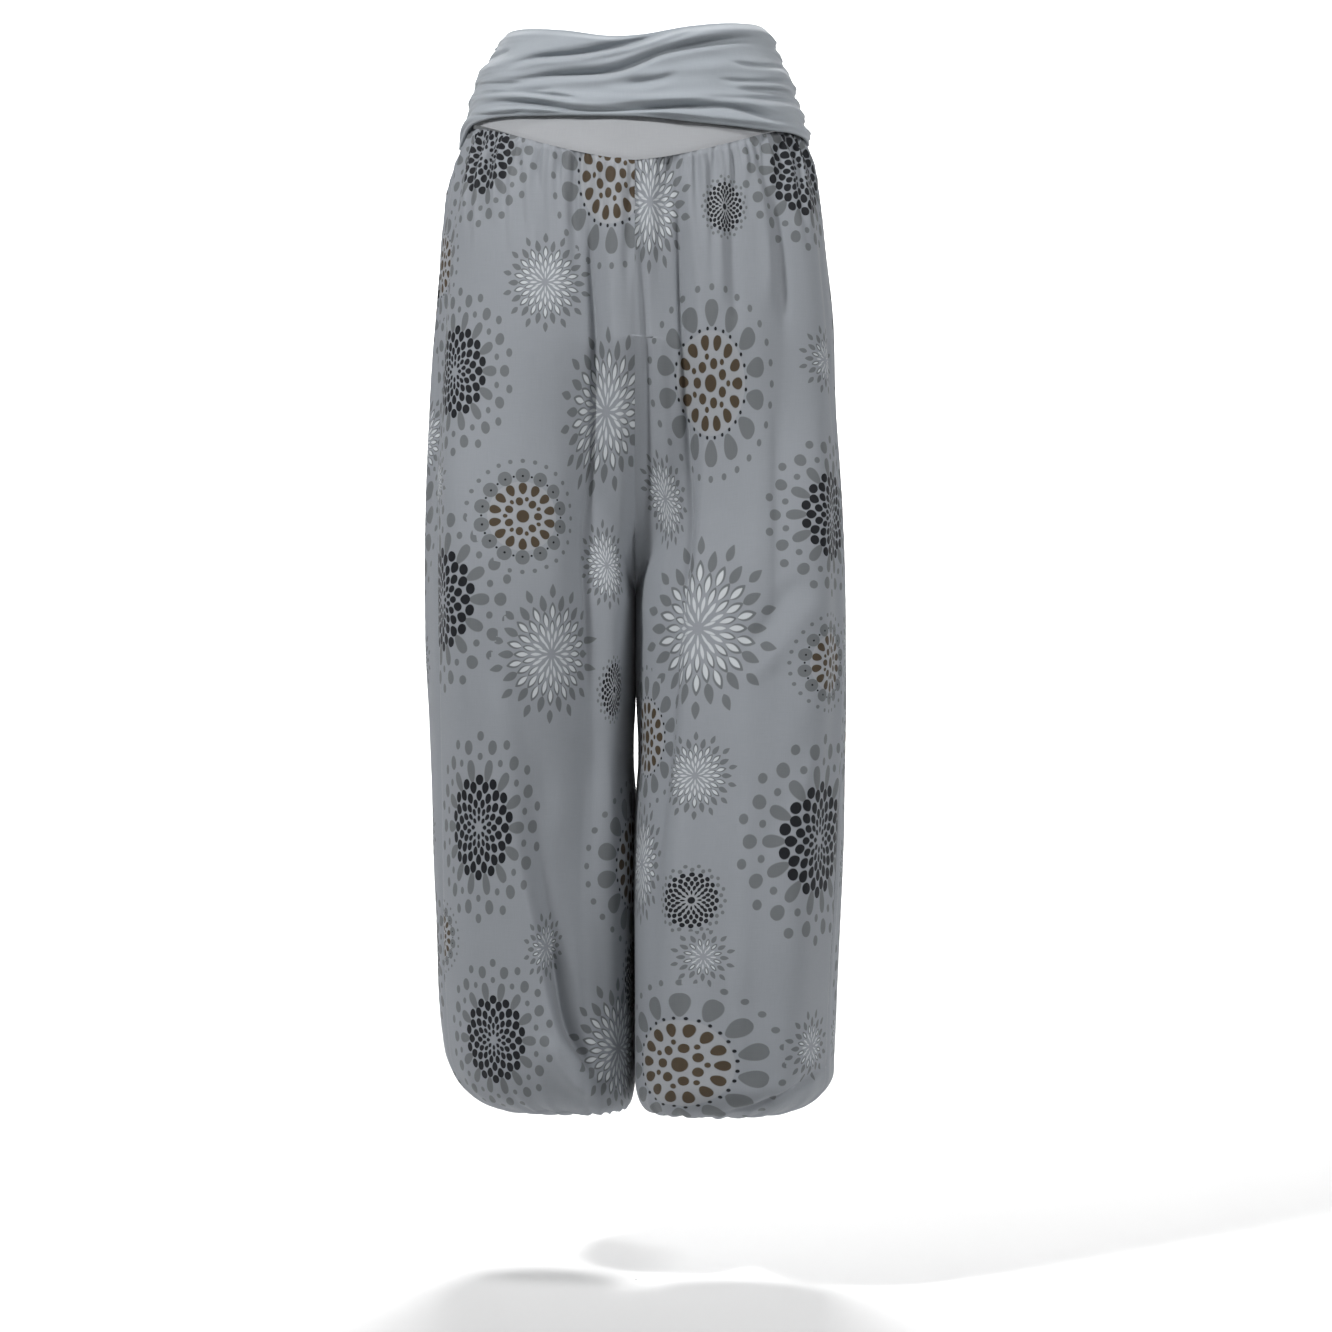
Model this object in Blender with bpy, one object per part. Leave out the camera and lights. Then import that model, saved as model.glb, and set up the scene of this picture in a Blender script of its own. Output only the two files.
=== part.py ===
"""Harem pants, hollow and hanging as they are worn.

A ruched jersey band folds over a plain jersey yoke. Four printed leg panels are
gathered into the yoke, drop to a low crotch and blouse over an elastic cuff at
each ankle.

Metres. +X is the wearer's left, -Y the front and +Z up. The origin is the middle
of the waist opening, at the height of the top edge. A drop is a distance below it.
"""

import math

import bmesh
import bpy
import numpy as np

# Walls and seams
CLOTH = 0.0012
JERSEY = 0.0014
CUFF_WALL = 0.0025
SEAM_GAP = 0.0003

# Round the body and round each leg
BODY_SQUARENESS = 2.3
LEG_SQUARENESS = 2.45

# The crotch seam is a deep U from centre back to centre front.
FORK_TOP = 0.300
FORK_END = 0.560
CROTCH = 0.545
U_SHAPE = 2.5
SEAM_SWEEP = 4
INSEAM_FADE = 0.150

# The left leg stands ahead of the right one, and they pass each other.
STRIDE = 0.040
STRIDE_WIDTH = 0.080
STRIDE_TOP = 0.450
STRIDE_END = 1.000
PASSING = 0.07
HEM_RAISED = {1: 0.0090, -1: 0.0160}

# The yoke's lower edge is a shallow V at the back and at the front.
YOKE_POINT = 0.136
YOKE_RISE = 0.0436
YOKE_HALF_WIDTH = 0.165
YOKE_BEND = 1.45
YOKE_TOP = 0.004

# Gathers in each leg panel, by their height each way from the smooth cloth
GATHERS = 10
UNEVEN_GATHERS = ((0.16, 6), (0.09, 14))
WAIST_GATHER = 0.0031
WAIST_GATHER_LENGTH = 0.150
WAIST_GATHER_RISE = 0.025
HEM_GATHER = 0.0024
HEM_GATHER_TOP = 0.940
HEM_GATHER_FULL = 1.075

# The elastic casing inside each bloused hem
CUFF_TOP = 1.008
CUFF_BOTTOM = 1.034
CUFF_RADIUS = 0.0425
CUFF_PLEAT = 0.0005
CUFF_CENTRE = {1: 0.057, -1: 0.076}
CUFF_COLUMNS = 48

# The band's stand off the yoke and legs, and its return inside the yoke
BAND_LIFT_TOP = 0.0025
BAND_LIFT_HEM = 0.0046
BAND_LIFT_SIDE = 0.0060
BAND_RETURN = 0.014
BAND_RETURN_GAP = 0.0006

# Ruching beside the band's side seams
RUCHES = 7
RUCHE_HEIGHT = 0.0018
RUCHE_REACH = 0.20

LEFT, RIGHT = 1, -1
BACK, FRONT = 1, -1
SIDE_NAMES = {LEFT: "left", RIGHT: "right"}
FACE_NAMES = {BACK: "back", FRONT: "front"}


def smooth(share):
    """From 0 to 1 with level ends, and held outside that range."""
    share = np.clip(share, 0.0, 1.0)
    return share * share * (3.0 - 2.0 * share)


def unit(vectors):
    return vectors / np.maximum(np.linalg.norm(vectors, axis=-1, keepdims=True), 1e-12)


class Table:
    """Rows with named columns, read as smooth curves over the first column."""

    def __init__(self, names, *rows):
        self.columns = dict(zip(names.split(), np.array(rows, float).T))
        self.key = self.columns[names.split()[0]]

    def at(self, name, where):
        """The column's value there, level past both ends."""
        key, value = self.key, self.columns[name]
        slope = np.gradient(value, key)
        where = np.clip(where, key[0], key[-1])
        i = np.clip(np.searchsorted(key, where, side="right") - 1, 0, len(key) - 2)
        step = key[i + 1] - key[i]
        t = (where - key[i]) / step
        ends = value[i] * (1 + 2 * t) * (1 - t) ** 2 + value[i + 1] * t * t * (3 - 2 * t)
        return ends + step * t * (1 - t) * (slope[i] * (1 - t) - slope[i + 1] * t)


class Arc:
    """A superellipse's arc that starts on +X, read by its share of the length."""

    def __init__(self, power, quarters, typical_width, typical_depth):
        angle = np.linspace(0.0, quarters * math.pi / 2, 1200 * quarters + 1)
        self.x = np.sign(np.cos(angle)) * np.abs(np.cos(angle)) ** (2 / power)
        self.y = np.abs(np.sin(angle)) ** (2 / power)
        steps = np.hypot(np.diff(self.x) * typical_width, np.diff(self.y) * typical_depth)
        self.share = np.concatenate([[0.0], np.cumsum(steps)]) / steps.sum()

    def at(self, half_width, depth, share):
        x = half_width * np.interp(share, self.share, self.x)
        return x, depth * np.interp(share, self.share, self.y)


BODY_ARC = Arc(BODY_SQUARENESS, 1, 0.190, 0.125)
LEG_ARC = Arc(LEG_SQUARENESS, 2, 0.098, 0.130)

# Half widths to each side, and depths to the back and front of the middle
BODY = Table(
    "drop left right back front",
    (-0.010, 0.1170, 0.1170, 0.0860, 0.0820),
    (0.000, 0.1210, 0.1215, 0.0880, 0.0840),
    (0.033, 0.1380, 0.1370, 0.0930, 0.0880),
    (0.056, 0.1460, 0.1445, 0.0980, 0.0920),
    (0.079, 0.1530, 0.1510, 0.1040, 0.0960),
    (0.095, 0.1585, 0.1560, 0.1080, 0.0985),
    (0.125, 0.1705, 0.1685, 0.1165, 0.1020),
    (0.155, 0.1790, 0.1745, 0.1240, 0.1055),
    (0.210, 0.1860, 0.1820, 0.1330, 0.1110),
    (0.270, 0.1910, 0.1880, 0.1380, 0.1160),
    (0.385, 0.1985, 0.1925, 0.1400, 0.1230),
    (0.470, 0.1998, 0.1980, 0.1390, 0.1260),
    (0.560, 0.1993, 0.2005, 0.1370, 0.1270),
    (0.730, 0.1957, 0.2002, 0.1330, 0.1270),
    (0.870, 0.1925, 0.1966, 0.1280, 0.1240),
    (0.955, 0.1892, 0.1926, 0.1230, 0.1190),
)

# How far each leg's inner side keeps from the middle plane
INNER = Table(
    "drop gap",
    (0.300, 0.0012),
    (0.630, 0.0012),
    (0.672, 0.0048),
    (0.712, 0.0048),
    (0.748, 0.0014),
    (0.840, 0.0012),
    (0.955, 0.0012),
)

# The side seams, in shares of the way from the side to the centre back
SIDE_SEAM = Table(
    "drop left right",
    (0.090, 0.00, 0.00),
    (0.200, 0.12, 0.06),
    (0.350, 0.20, 0.11),
    (0.600, 0.24, 0.14),
    (0.900, 0.23, 0.14),
    (1.098, 0.20, 0.12),
)

# The bloused hem by the length of cloth above it: its drop, and how far each leg
# has closed from its full width to the cuff
HEM = Table(
    "run drop left right",
    (0.925, 0.9250, 0.00, 0.00),
    (0.960, 0.9597, 0.03, 0.02),
    (0.990, 0.9885, 0.08, 0.04),
    (1.013, 1.0100, 0.20, 0.07),
    (1.024, 1.0197, 0.30, 0.15),
    (1.037, 1.0285, 0.43, 0.29),
    (1.051, 1.0345, 0.58, 0.48),
    (1.066, 1.0370, 0.73, 0.67),
    (1.082, 1.0370, 0.88, 0.86),
    (1.098, 1.0310, 1.00, 1.00),
)

# The largest folds, by where they lie across the view of their face: a ridge that
# bows sideways, with one flank towards the wearer's left and one towards the right.
FOLDS = (
    # face, top: drop, x, foot: drop, x, bow, left flank, right flank, height
    (BACK, 0.140, 0.051, 0.700, 0.039, 0.000, 0.040, 0.013, 0.0085),
    (BACK, 0.160, 0.024, 0.640, 0.018, 0.000, 0.009, 0.008, 0.0030),
    (BACK, 0.140, -0.050, 0.760, -0.030, 0.002, 0.013, 0.050, 0.0095),
    (BACK, 0.150, 0.118, 0.500, 0.126, 0.000, 0.022, 0.028, 0.0030),
    (BACK, 0.150, -0.112, 0.560, -0.128, 0.000, 0.026, 0.022, 0.0036),
    (BACK, 0.760, 0.098, 1.066, -0.012, 0.030, 0.050, 0.013, 0.0095),
    (BACK, 0.640, -0.070, 1.010, -0.058, 0.000, 0.020, 0.040, 0.0040),
    (BACK, 0.520, -0.150, 0.980, -0.160, 0.000, 0.020, 0.014, 0.0040),
    (FRONT, 0.140, 0.040, 0.720, 0.034, 0.004, 0.042, 0.014, 0.0080),
    (FRONT, 0.150, -0.036, 0.700, -0.030, -0.003, 0.014, 0.042, 0.0080),
    (FRONT, 0.160, 0.104, 0.620, 0.118, 0.000, 0.024, 0.030, 0.0040),
    (FRONT, 0.150, -0.100, 0.580, -0.110, 0.000, 0.028, 0.022, 0.0040),
    (FRONT, 0.600, 0.082, 1.010, 0.090, 0.006, 0.022, 0.040, 0.0045),
    (FRONT, 0.740, -0.092, 1.060, -0.020, -0.020, 0.013, 0.046, 0.0075),
)
FOLD_END = 0.110
FOLD_FACING = 0.75

# The drops of the band's two edges, from the wearer's right (-1) to the left (1)
BAND_EDGES = {
    BACK: Table(
        "across top hem",
        (-1.00, 0.0020, 0.1045),
        (-0.93, 0.0010, 0.1025),
        (-0.80, 0.0005, 0.1010),
        (-0.60, 0.0030, 0.1015),
        (-0.30, 0.0075, 0.0985),
        (0.00, 0.0150, 0.0930),
        (0.10, 0.0155, 0.0925),
        (0.40, 0.0105, 0.0905),
        (0.70, 0.0070, 0.0885),
        (0.85, 0.0030, 0.0910),
        (0.93, -0.0010, 0.0965),
        (1.00, -0.0040, 0.1080),
    ),
    FRONT: Table(
        "across top hem",
        (-1.00, 0.0020, 0.1045),
        (-0.90, 0.0030, 0.0990),
        (-0.60, 0.0050, 0.0920),
        (-0.10, 0.0120, 0.0930),
        (0.30, 0.0140, 0.0960),
        (0.70, 0.0060, 0.0990),
        (0.92, -0.0010, 0.1035),
        (1.00, -0.0040, 0.1080),
    ),
}

# Soft rolls across the band. Each has its places in shares of the band's height,
# from the wearer's right (-1) to the left (1), then its width and its height.
BAND_STATIONS = (-1.0, -0.55, 0.0, 0.55, 1.0)
BAND_ROLLS = {
    BACK: (
        ((0.05, 0.06, 0.22, 0.40, 0.42), 0.085, 0.0042),
        ((0.48, 0.40, 0.52, 0.58, 0.55), 0.070, 0.0022),
        ((0.74, 0.79, 0.80, 0.79, 0.66), 0.055, 0.0026),
        ((0.93, 0.95, 0.95, 0.94, 0.92), 0.050, 0.0024),
    ),
    FRONT: (
        ((0.42, 0.36, 0.20, 0.08, 0.06), 0.085, 0.0040),
        ((0.58, 0.56, 0.50, 0.42, 0.50), 0.070, 0.0022),
        ((0.70, 0.78, 0.80, 0.78, 0.74), 0.055, 0.0026),
        ((0.92, 0.94, 0.95, 0.95, 0.93), 0.050, 0.0024),
    ),
}


def stand(points):
    """The pose: the legs step apart and pass each other below the crotch."""
    x, y, z = points[..., 0], points[..., 1], points[..., 2]
    down = smooth((-z - STRIDE_TOP) / (STRIDE_END - STRIDE_TOP))
    side = np.tanh(x / STRIDE_WIDTH)
    y = y - STRIDE * down * side
    raised = (HEM_RAISED[LEFT] * (1 + side) + HEM_RAISED[RIGHT] * (1 - side)) / 2
    return np.stack([x + PASSING * down * y, y, z + raised * down], axis=-1)


def yoke_edge(x):
    """The drop of the seam between the yoke and the legs."""
    return YOKE_POINT - YOKE_RISE * (np.abs(x) / YOKE_HALF_WIDTH) ** YOKE_BEND


def fold_height(back, x, drop):
    """The height of the largest folds, by the face and the place in its view."""
    height = np.zeros(np.shape(x))
    for face, top, x_top, foot, x_foot, bow, left, right, tall in FOLDS:
        down = np.clip((drop - top) / (foot - top), 0.0, 1.0)
        off = x - (x_top + (x_foot - x_top) * down + bow * 4 * down * (1 - down))
        ridge = np.exp(-((off / np.where(off > 0, left, right)) ** 2))
        ends = smooth((drop - top) / FOLD_END) * smooth((foot - drop) / FOLD_END)
        height += np.where(back == (face == BACK), tall * ends * ridge, 0.0)
    return height


def gather_turns(share):
    """How many gathers lie before a share of a panel's width."""
    turns = GATHERS * share
    for swing, halves in UNEVEN_GATHERS:
        turns = turns + swing * np.sin(halves * math.pi * share)
    return turns


def gather_height(panel_share, below_seam, run):
    """The height of the gathers at the yoke and at the hem."""
    wave = np.sin(2 * math.pi * gather_turns(panel_share))
    length = WAIST_GATHER_LENGTH * (0.8 + 0.2 * np.sin(9 * math.pi * panel_share))
    rise = 0.45 + 0.55 * smooth(below_seam / WAIST_GATHER_RISE)
    waist = WAIST_GATHER * rise * (1 - smooth(below_seam / length))
    hem = HEM_GATHER * smooth((run - HEM_GATHER_TOP) / (HEM_GATHER_FULL - HEM_GATHER_TOP))
    return wave * (waist + hem)


def panel_shares(count):
    """Shares of a panel's width at the crests, troughs and flanks of its gathers."""
    fine = np.linspace(0.0, 1.0, 2001)
    return np.interp(np.linspace(0, GATHERS, count + 1), gather_turns(fine), fine)


class Leg:
    """One leg's cloth as a surface over share and run.

    The share goes from -1 at the centre front, through 0 at the side, to 1 at the
    centre back or, below the crotch, round to the inseam. The run is the length of
    cloth below the waist.
    """

    def __init__(self, side):
        self.side = side
        self.name = SIDE_NAMES[side]

    def flat(self, share, run):
        """The cloth with neither folds nor gathers, and before it takes its pose."""
        share, run = np.broadcast_arrays(np.asarray(share, float), np.asarray(run, float))
        around, back = np.abs(share), share >= 0
        full = np.minimum(run, HEM.key[0])
        drop = np.where(run > full, HEM.at("drop", run), run)
        wide = BODY.at(self.name, full)
        deep = np.where(back, BODY.at("back", full), BODY.at("front", full))
        gap = INNER.at("gap", full)
        body_x, body_y = BODY_ARC.at(wide, deep, around)
        leg_x, leg_y = LEG_ARC.at((wide - gap) / 2, deep, around)
        forked = smooth((full - FORK_TOP) / (FORK_END - FORK_TOP))
        x = body_x + (leg_x + (wide + gap) / 2 - body_x) * forked
        y = body_y + (leg_y - body_y) * forked
        seam_drop = CROTCH - (CROTCH - FORK_TOP) * (1 - forked) ** U_SHAPE
        inseam = drop - (FORK_END - CROTCH) * (1 - smooth((drop - FORK_END) / INSEAM_FADE))
        at_seam = np.where(full < FORK_TOP, drop, np.where(full < FORK_END, seam_drop, inseam))
        drop = drop + (at_seam - drop) * around**SEAM_SWEEP
        closed = HEM.at(self.name, run)
        reach = CUFF_RADIUS + CUFF_PLEAT + SEAM_GAP
        x = x + (CUFF_CENTRE[self.side] + reach * np.cos(around * math.pi) - x) * closed
        y = y + (reach * np.sin(around * math.pi) - y) * closed
        x = np.maximum(x, SEAM_GAP / 2)
        return np.stack([self.side * x, np.where(back, y, -y), -drop], axis=-1)

    def normals(self, surface, share, run):
        """The outward normals of one of this leg's surfaces."""
        step = 1e-3
        before, after = np.maximum(share - step, -1.0), np.minimum(share + step, 1.0)
        around = surface(after, run) - surface(before, run)
        down = surface(share, run + step) - surface(share, run - step)
        return unit(np.cross(around, down) * -self.side)

    def plain(self, share, run):
        return stand(self.flat(share, run))

    def panel_share(self, share, run):
        """The share of its own panel's width, from the side seam."""
        seam = SIDE_SEAM.at(self.name, run)
        return np.where(share >= seam, (share - seam) / (1 - seam), (seam - share) / (1 + seam))

    def surface(self, share, run):
        """The cloth's outer face with its folds and gathers, in its pose."""
        points = self.flat(share, run)
        normal = self.normals(self.flat, share, run)
        back = share >= 0
        facing = smooth(np.where(back, normal[..., 1], -normal[..., 1]) / FOLD_FACING)
        x = points[..., 0]
        height = fold_height(back, x, run) * facing
        height += gather_height(self.panel_share(share, run), run - yoke_edge(x), run)
        points = points + normal * height[..., None]
        points[..., 0] = self.side * np.maximum(self.side * points[..., 0], SEAM_GAP / 2)
        return stand(points)


def wall_mesh(outer, inner, closed_rows):
    """Points and triangles of a wall between rows of outer and inner points.

    A row has as many spans as the next one, or twice or half as many.
    """
    rows = outer + inner
    starts = np.concatenate([[0], np.cumsum([len(row) for row in rows])])
    ends = starts[1:] - 1
    count = len(outer)
    faces = []

    def strip(a, b, a_spans, b_spans):
        if a_spans == b_spans:
            for j in range(a_spans):
                faces.append((a + j, b + j, b + j + 1))
                faces.append((a + j, b + j + 1, a + j + 1))
        elif a_spans > b_spans:
            for j in range(b_spans):
                fine, coarse = a + 2 * j, b + j
                faces.append((fine, coarse, fine + 1))
                faces.append((fine + 1, coarse, coarse + 1))
                faces.append((fine + 1, coarse + 1, fine + 2))
        else:
            for j in range(a_spans):
                coarse, fine = a + j, b + 2 * j
                faces.append((coarse, fine, fine + 1))
                faces.append((coarse, fine + 1, coarse + 1))
                faces.append((coarse + 1, fine + 1, fine + 2))

    for i in range(count - 1):
        spans = len(outer[i]) - 1, len(outer[i + 1]) - 1
        strip(starts[i], starts[i + 1], *spans)
        strip(starts[count + i], starts[count + i + 1], *spans)
        if not closed_rows:
            for edge in (starts, ends):
                faces.append((edge[i], edge[count + i], edge[count + i + 1]))
                faces.append((edge[i], edge[count + i + 1], edge[i + 1]))
    for i in (0, count - 1):
        strip(starts[i], starts[count + i], len(outer[i]) - 1, len(outer[i]) - 1)
    return np.concatenate(rows), faces


def add_wall(name, outer, inner, material, closed_rows=False):
    """One closed wall as a named object."""
    points, faces = wall_mesh(outer, inner, closed_rows)
    mesh = bpy.data.meshes.new(name)
    mesh.from_pydata(points.tolist(), [], [[int(i) for i in face] for face in faces])
    shape = bmesh.new()
    shape.from_mesh(mesh)
    if closed_rows:
        bmesh.ops.remove_doubles(shape, verts=shape.verts, dist=1e-6)
    bmesh.ops.recalc_face_normals(shape, faces=shape.faces)
    if shape.calc_volume(signed=True) < 0:
        bmesh.ops.reverse_faces(shape, faces=shape.faces)
    shape.to_mesh(mesh)
    shape.free()
    mesh.shade_smooth()
    mesh.set_sharp_from_angle(angle=math.radians(60))
    mesh.materials.append(material)
    made = bpy.data.objects.new(name, mesh)
    bpy.context.scene.collection.objects.link(made)
    return made


def fabric(name, colour, roughness):
    """A plain cloth material."""
    material = bpy.data.materials.new(name)
    material.use_nodes = True
    shader = material.node_tree.nodes["Principled BSDF"]
    shader.inputs["Base Color"].default_value = (*colour, 1.0)
    shader.inputs["Roughness"].default_value = roughness
    shader.inputs["Metallic"].default_value = 0.0
    return material


# Rows of a leg panel. The first ones are shares of the way from the yoke to the
# end of the gathers, and the rest are runs. Plain rows have half the columns.
LEG_COLUMNS = 4 * GATHERS
GATHERED_END = 0.300
GATHERED_ROWS = (0.0, 0.10, 0.27, 0.55, 1.0)
PLAIN_ROWS = (0.365, 0.425, 0.475, 0.515, 0.545, 0.575, 0.630, 0.715, 0.805, 0.885)
HEM_ROWS = (0.940, 0.978, 1.008, 1.030, 1.051, 1.075, 1.098)


def add_leg_panel(leg, face, material):
    """A panel from the side seam to the centre seam and inseam, yoke to cuff."""
    every = panel_shares(LEG_COLUMNS)
    rows = [(share, None, every) for share in GATHERED_ROWS]
    rows += [(None, run, every[::2]) for run in PLAIN_ROWS]
    rows += [(None, run, every) for run in HEM_ROWS]
    outer, inner = [], []
    for index, (gathered, run, panel) in enumerate(rows):
        run = np.full(len(panel), GATHERED_END if run is None else run)
        trim = np.zeros(len(panel))
        half_gap = SEAM_GAP / 2 / np.ptp(LEG_ARC.x * 0.19)
        trim[0] = half_gap
        trim[-1] = -half_gap if run[0] > FORK_TOP + 0.2 else 0.0
        share = face * panel
        for _ in range(3):
            if gathered is not None:
                edge = yoke_edge(leg.flat(share, run)[..., 0]) + SEAM_GAP
                run = edge + gathered * (GATHERED_END - edge)
            seam = SIDE_SEAM.at(leg.name, run)
            share = seam + face * (panel * (1 - face * seam) + trim)
        points = leg.surface(share, run)
        normal = leg.normals(leg.surface, share, run)
        seam_normal = leg.normals(leg.plain, share, run)
        if run[-1] < FORK_END:
            seam_normal[-1, 0] = 0.0
        normal[[0, -1]] = unit(seam_normal[[0, -1]])
        by_seam = np.abs(points[:, 0]) < CLOTH
        normal[by_seam, 0] = -leg.side * np.abs(normal[by_seam, 0])
        if index == 0:
            normal = unit(normal * (1, 1, 0))
        elif index == len(rows) - 1:
            normal = unit(normal * (0, 0, 1))
        outer.append(points)
        inner.append(points - normal * CLOTH)
    return add_wall(f"leg_{FACE_NAMES[face]}_{leg.name}", outer, inner, material)


def waist_columns(count):
    """Columns round half the waist, from left to right, closer towards the sides."""
    return np.sin(np.linspace(math.pi / 2, -math.pi / 2, count + 1))


def waist_points(face, across, drop):
    """Points round the back or front of the waist."""
    wide = np.where(across >= 0, BODY.at("left", drop), BODY.at("right", drop))
    x, y = BODY_ARC.at(wide, BODY.at(FACE_NAMES[face], drop), 1 - np.abs(across))
    y = np.maximum(y, SEAM_GAP / 2)
    return np.stack([np.copysign(x, across), face * y, -drop + 0 * x], axis=-1)


def waist_normals(face, across, drop):
    """The level outward directions at those points."""
    along = np.gradient(waist_points(face, across, drop), axis=0)
    normal = unit(np.stack([along[:, 1], -along[:, 0], 0 * along[:, 0]], axis=-1) * face)
    normal[0], normal[-1] = (1, 0, 0), (-1, 0, 0)
    return normal


YOKE_COLUMNS = 44
YOKE_ROWS = 4


def add_yoke(face, material):
    """The plain jersey yoke, from just under the band's fold to its V edge."""
    across = waist_columns(YOKE_COLUMNS)
    top = YOKE_TOP + np.maximum(0.0, BAND_EDGES[face].at("top", across))
    edge = yoke_edge(waist_points(face, across, YOKE_POINT)[:, 0])
    outer, inner = [], []
    for share in np.linspace(0.0, 1.0, YOKE_ROWS):
        drop = top + (edge - top) * share
        points = waist_points(face, across, drop)
        outer.append(points)
        inner.append(points - waist_normals(face, across, drop) * JERSEY)
    return add_wall(f"yoke_{FACE_NAMES[face]}", outer, inner, material)


BAND_COLUMNS = 22


def band_relief(face, across, share):
    """The height of the band's rolls and of the ruching beside its side seams."""
    height = np.zeros(np.shape(across))
    for places, width, tall in BAND_ROLLS[face]:
        middle = np.interp(across, BAND_STATIONS, places)
        height += tall * np.exp(-(((share - middle) / width) ** 2))
    edge = np.maximum(0.0, 1 - (1 - np.abs(across)) / RUCHE_REACH)
    return height + RUCHE_HEIGHT * edge * (0.5 - 0.5 * np.cos(2 * math.pi * RUCHES * share))


def add_band(face, material):
    """The ruched band: a short return inside the yoke, the fold, and the outside."""
    across = waist_columns(BAND_COLUMNS)
    top, hem = (BAND_EDGES[face].at(edge, across) for edge in ("top", "hem"))
    inside = -JERSEY - BAND_RETURN_GAP
    outer, inner = [], []
    for share in (1.0, 0.3):
        drop = top + BAND_RETURN * share
        normal = waist_normals(face, across, drop)
        near = waist_points(face, across, drop) + normal * inside
        outer.append(near - normal * JERSEY)
        inner.append(near)
    middle = waist_points(face, across, top)
    middle = middle + waist_normals(face, across, top) * (inside + BAND_LIFT_TOP) / 2
    outer.append(middle + (0, 0, JERSEY + SEAM_GAP))
    inner.append(middle + (0, 0, SEAM_GAP))
    hem_lift = BAND_LIFT_HEM + (BAND_LIFT_SIDE - BAND_LIFT_HEM) * np.abs(across) ** 3
    for share in np.arange(1, 2 * RUCHES + 1) / (2 * RUCHES):
        drop = top + (hem - top) * share
        normal = waist_normals(face, across, drop)
        lift = BAND_LIFT_TOP + (hem_lift - BAND_LIFT_TOP) * smooth(share / 0.7)
        lift = lift + band_relief(face, across, share)
        shell = waist_points(face, across, drop) + normal * lift[:, None]
        outer.append(shell)
        inner.append(shell - normal * JERSEY)
    return add_wall(f"band_{FACE_NAMES[face]}", outer, inner, material)


def add_cuff(side, material):
    """The elastic casing inside a bloused hem, with a small pleat at every column."""
    turn = 2 * math.pi * (np.arange(CUFF_COLUMNS + 1) % CUFF_COLUMNS) / CUFF_COLUMNS
    pleat = np.where(np.arange(CUFF_COLUMNS + 1) % 2, CUFF_PLEAT, -CUFF_PLEAT)

    def ring(reach, drop):
        x = side * (CUFF_CENTRE[side] + reach * np.cos(turn))
        return stand(np.stack([x, reach * np.sin(turn), -drop + 0 * x], axis=-1))

    outside = CUFF_RADIUS + pleat
    outer = [ring(outside, drop) for drop in (CUFF_TOP, CUFF_BOTTOM)]
    inner = [ring(outside - CUFF_WALL, drop) for drop in (CUFF_TOP, CUFF_BOTTOM)]
    return add_wall(f"cuff_{SIDE_NAMES[side]}", outer, inner, material, closed_rows=True)


def main():
    for old in list(bpy.data.objects):
        bpy.data.objects.remove(old)
    band_jersey = fabric("band_jersey", (0.30, 0.33, 0.37), 0.85)
    yoke_jersey = fabric("yoke_jersey", (0.38, 0.39, 0.41), 0.85)
    printed = fabric("printed_viscose", (0.24, 0.255, 0.275), 0.75)
    for face in (BACK, FRONT):
        add_band(face, band_jersey)
        add_yoke(face, yoke_jersey)
    for side in (LEFT, RIGHT):
        leg = Leg(side)
        for face in (BACK, FRONT):
            add_leg_panel(leg, face, printed)
        add_cuff(side, printed)


main()
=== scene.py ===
"""The looks of the harem pants: fine cloth over the plain solids, its print and its light.

Metres, in the part's own frame: +X is the wearer's left, -Y the front and +Z up, and
the origin is the middle of the waist opening. A drop is a distance below the origin,
and a run is the length of cloth below it. Places of creases are in millimetres.
"""

import math

import bpy
import numpy as np
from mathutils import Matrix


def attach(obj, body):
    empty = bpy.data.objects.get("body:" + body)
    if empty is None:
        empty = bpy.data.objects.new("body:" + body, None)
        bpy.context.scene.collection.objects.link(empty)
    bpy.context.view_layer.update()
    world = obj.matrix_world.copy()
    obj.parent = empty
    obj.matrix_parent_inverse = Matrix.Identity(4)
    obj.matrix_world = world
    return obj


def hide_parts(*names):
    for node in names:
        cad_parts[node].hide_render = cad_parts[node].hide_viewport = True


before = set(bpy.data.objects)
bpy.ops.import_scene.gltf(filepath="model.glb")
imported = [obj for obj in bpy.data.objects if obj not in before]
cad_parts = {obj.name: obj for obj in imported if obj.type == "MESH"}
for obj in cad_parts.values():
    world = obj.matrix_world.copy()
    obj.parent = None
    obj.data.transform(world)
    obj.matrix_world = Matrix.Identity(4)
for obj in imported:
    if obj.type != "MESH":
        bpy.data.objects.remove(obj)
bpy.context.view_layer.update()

# --- The garment's form, as in the part's source ---

LEFT, RIGHT = 1, -1
BACK, FRONT = 1, -1
SIDE_NAMES = {LEFT: "left", RIGHT: "right"}
FACE_NAMES = {BACK: "back", FRONT: "front"}
MM = 0.001

SEAM_GAP = 0.0003

# How square the outlines are from above, where 2 is an ellipse
BODY_SQUARENESS = 2.3
LEG_SQUARENESS = 2.45
ARC_STEPS = 1200

# The body parts into two legs between these drops, round a U above the crotch
FORK_TOP = 0.300
FORK_END = 0.560
CROTCH = 0.545
U_SHAPE = 2.5
SEAM_SWEEP = 4
INSEAM_FADE = 0.150

# The step between the legs, how they pass each other, and how far the hems are raised
STRIDE = 0.040
STRIDE_WIDTH = 0.080
STRIDE_TOP = 0.450
STRIDE_END = 1.000
PASSING = 0.10
HEM_RAISED = {LEFT: 0.0090, RIGHT: 0.0160}

# The yoke's lower edge, a shallow V
YOKE_POINT = 0.136
YOKE_RISE = 0.0436
YOKE_HALF_WIDTH = 0.165
YOKE_BEND = 1.45
YOKE_TOP = 0.004

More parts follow.
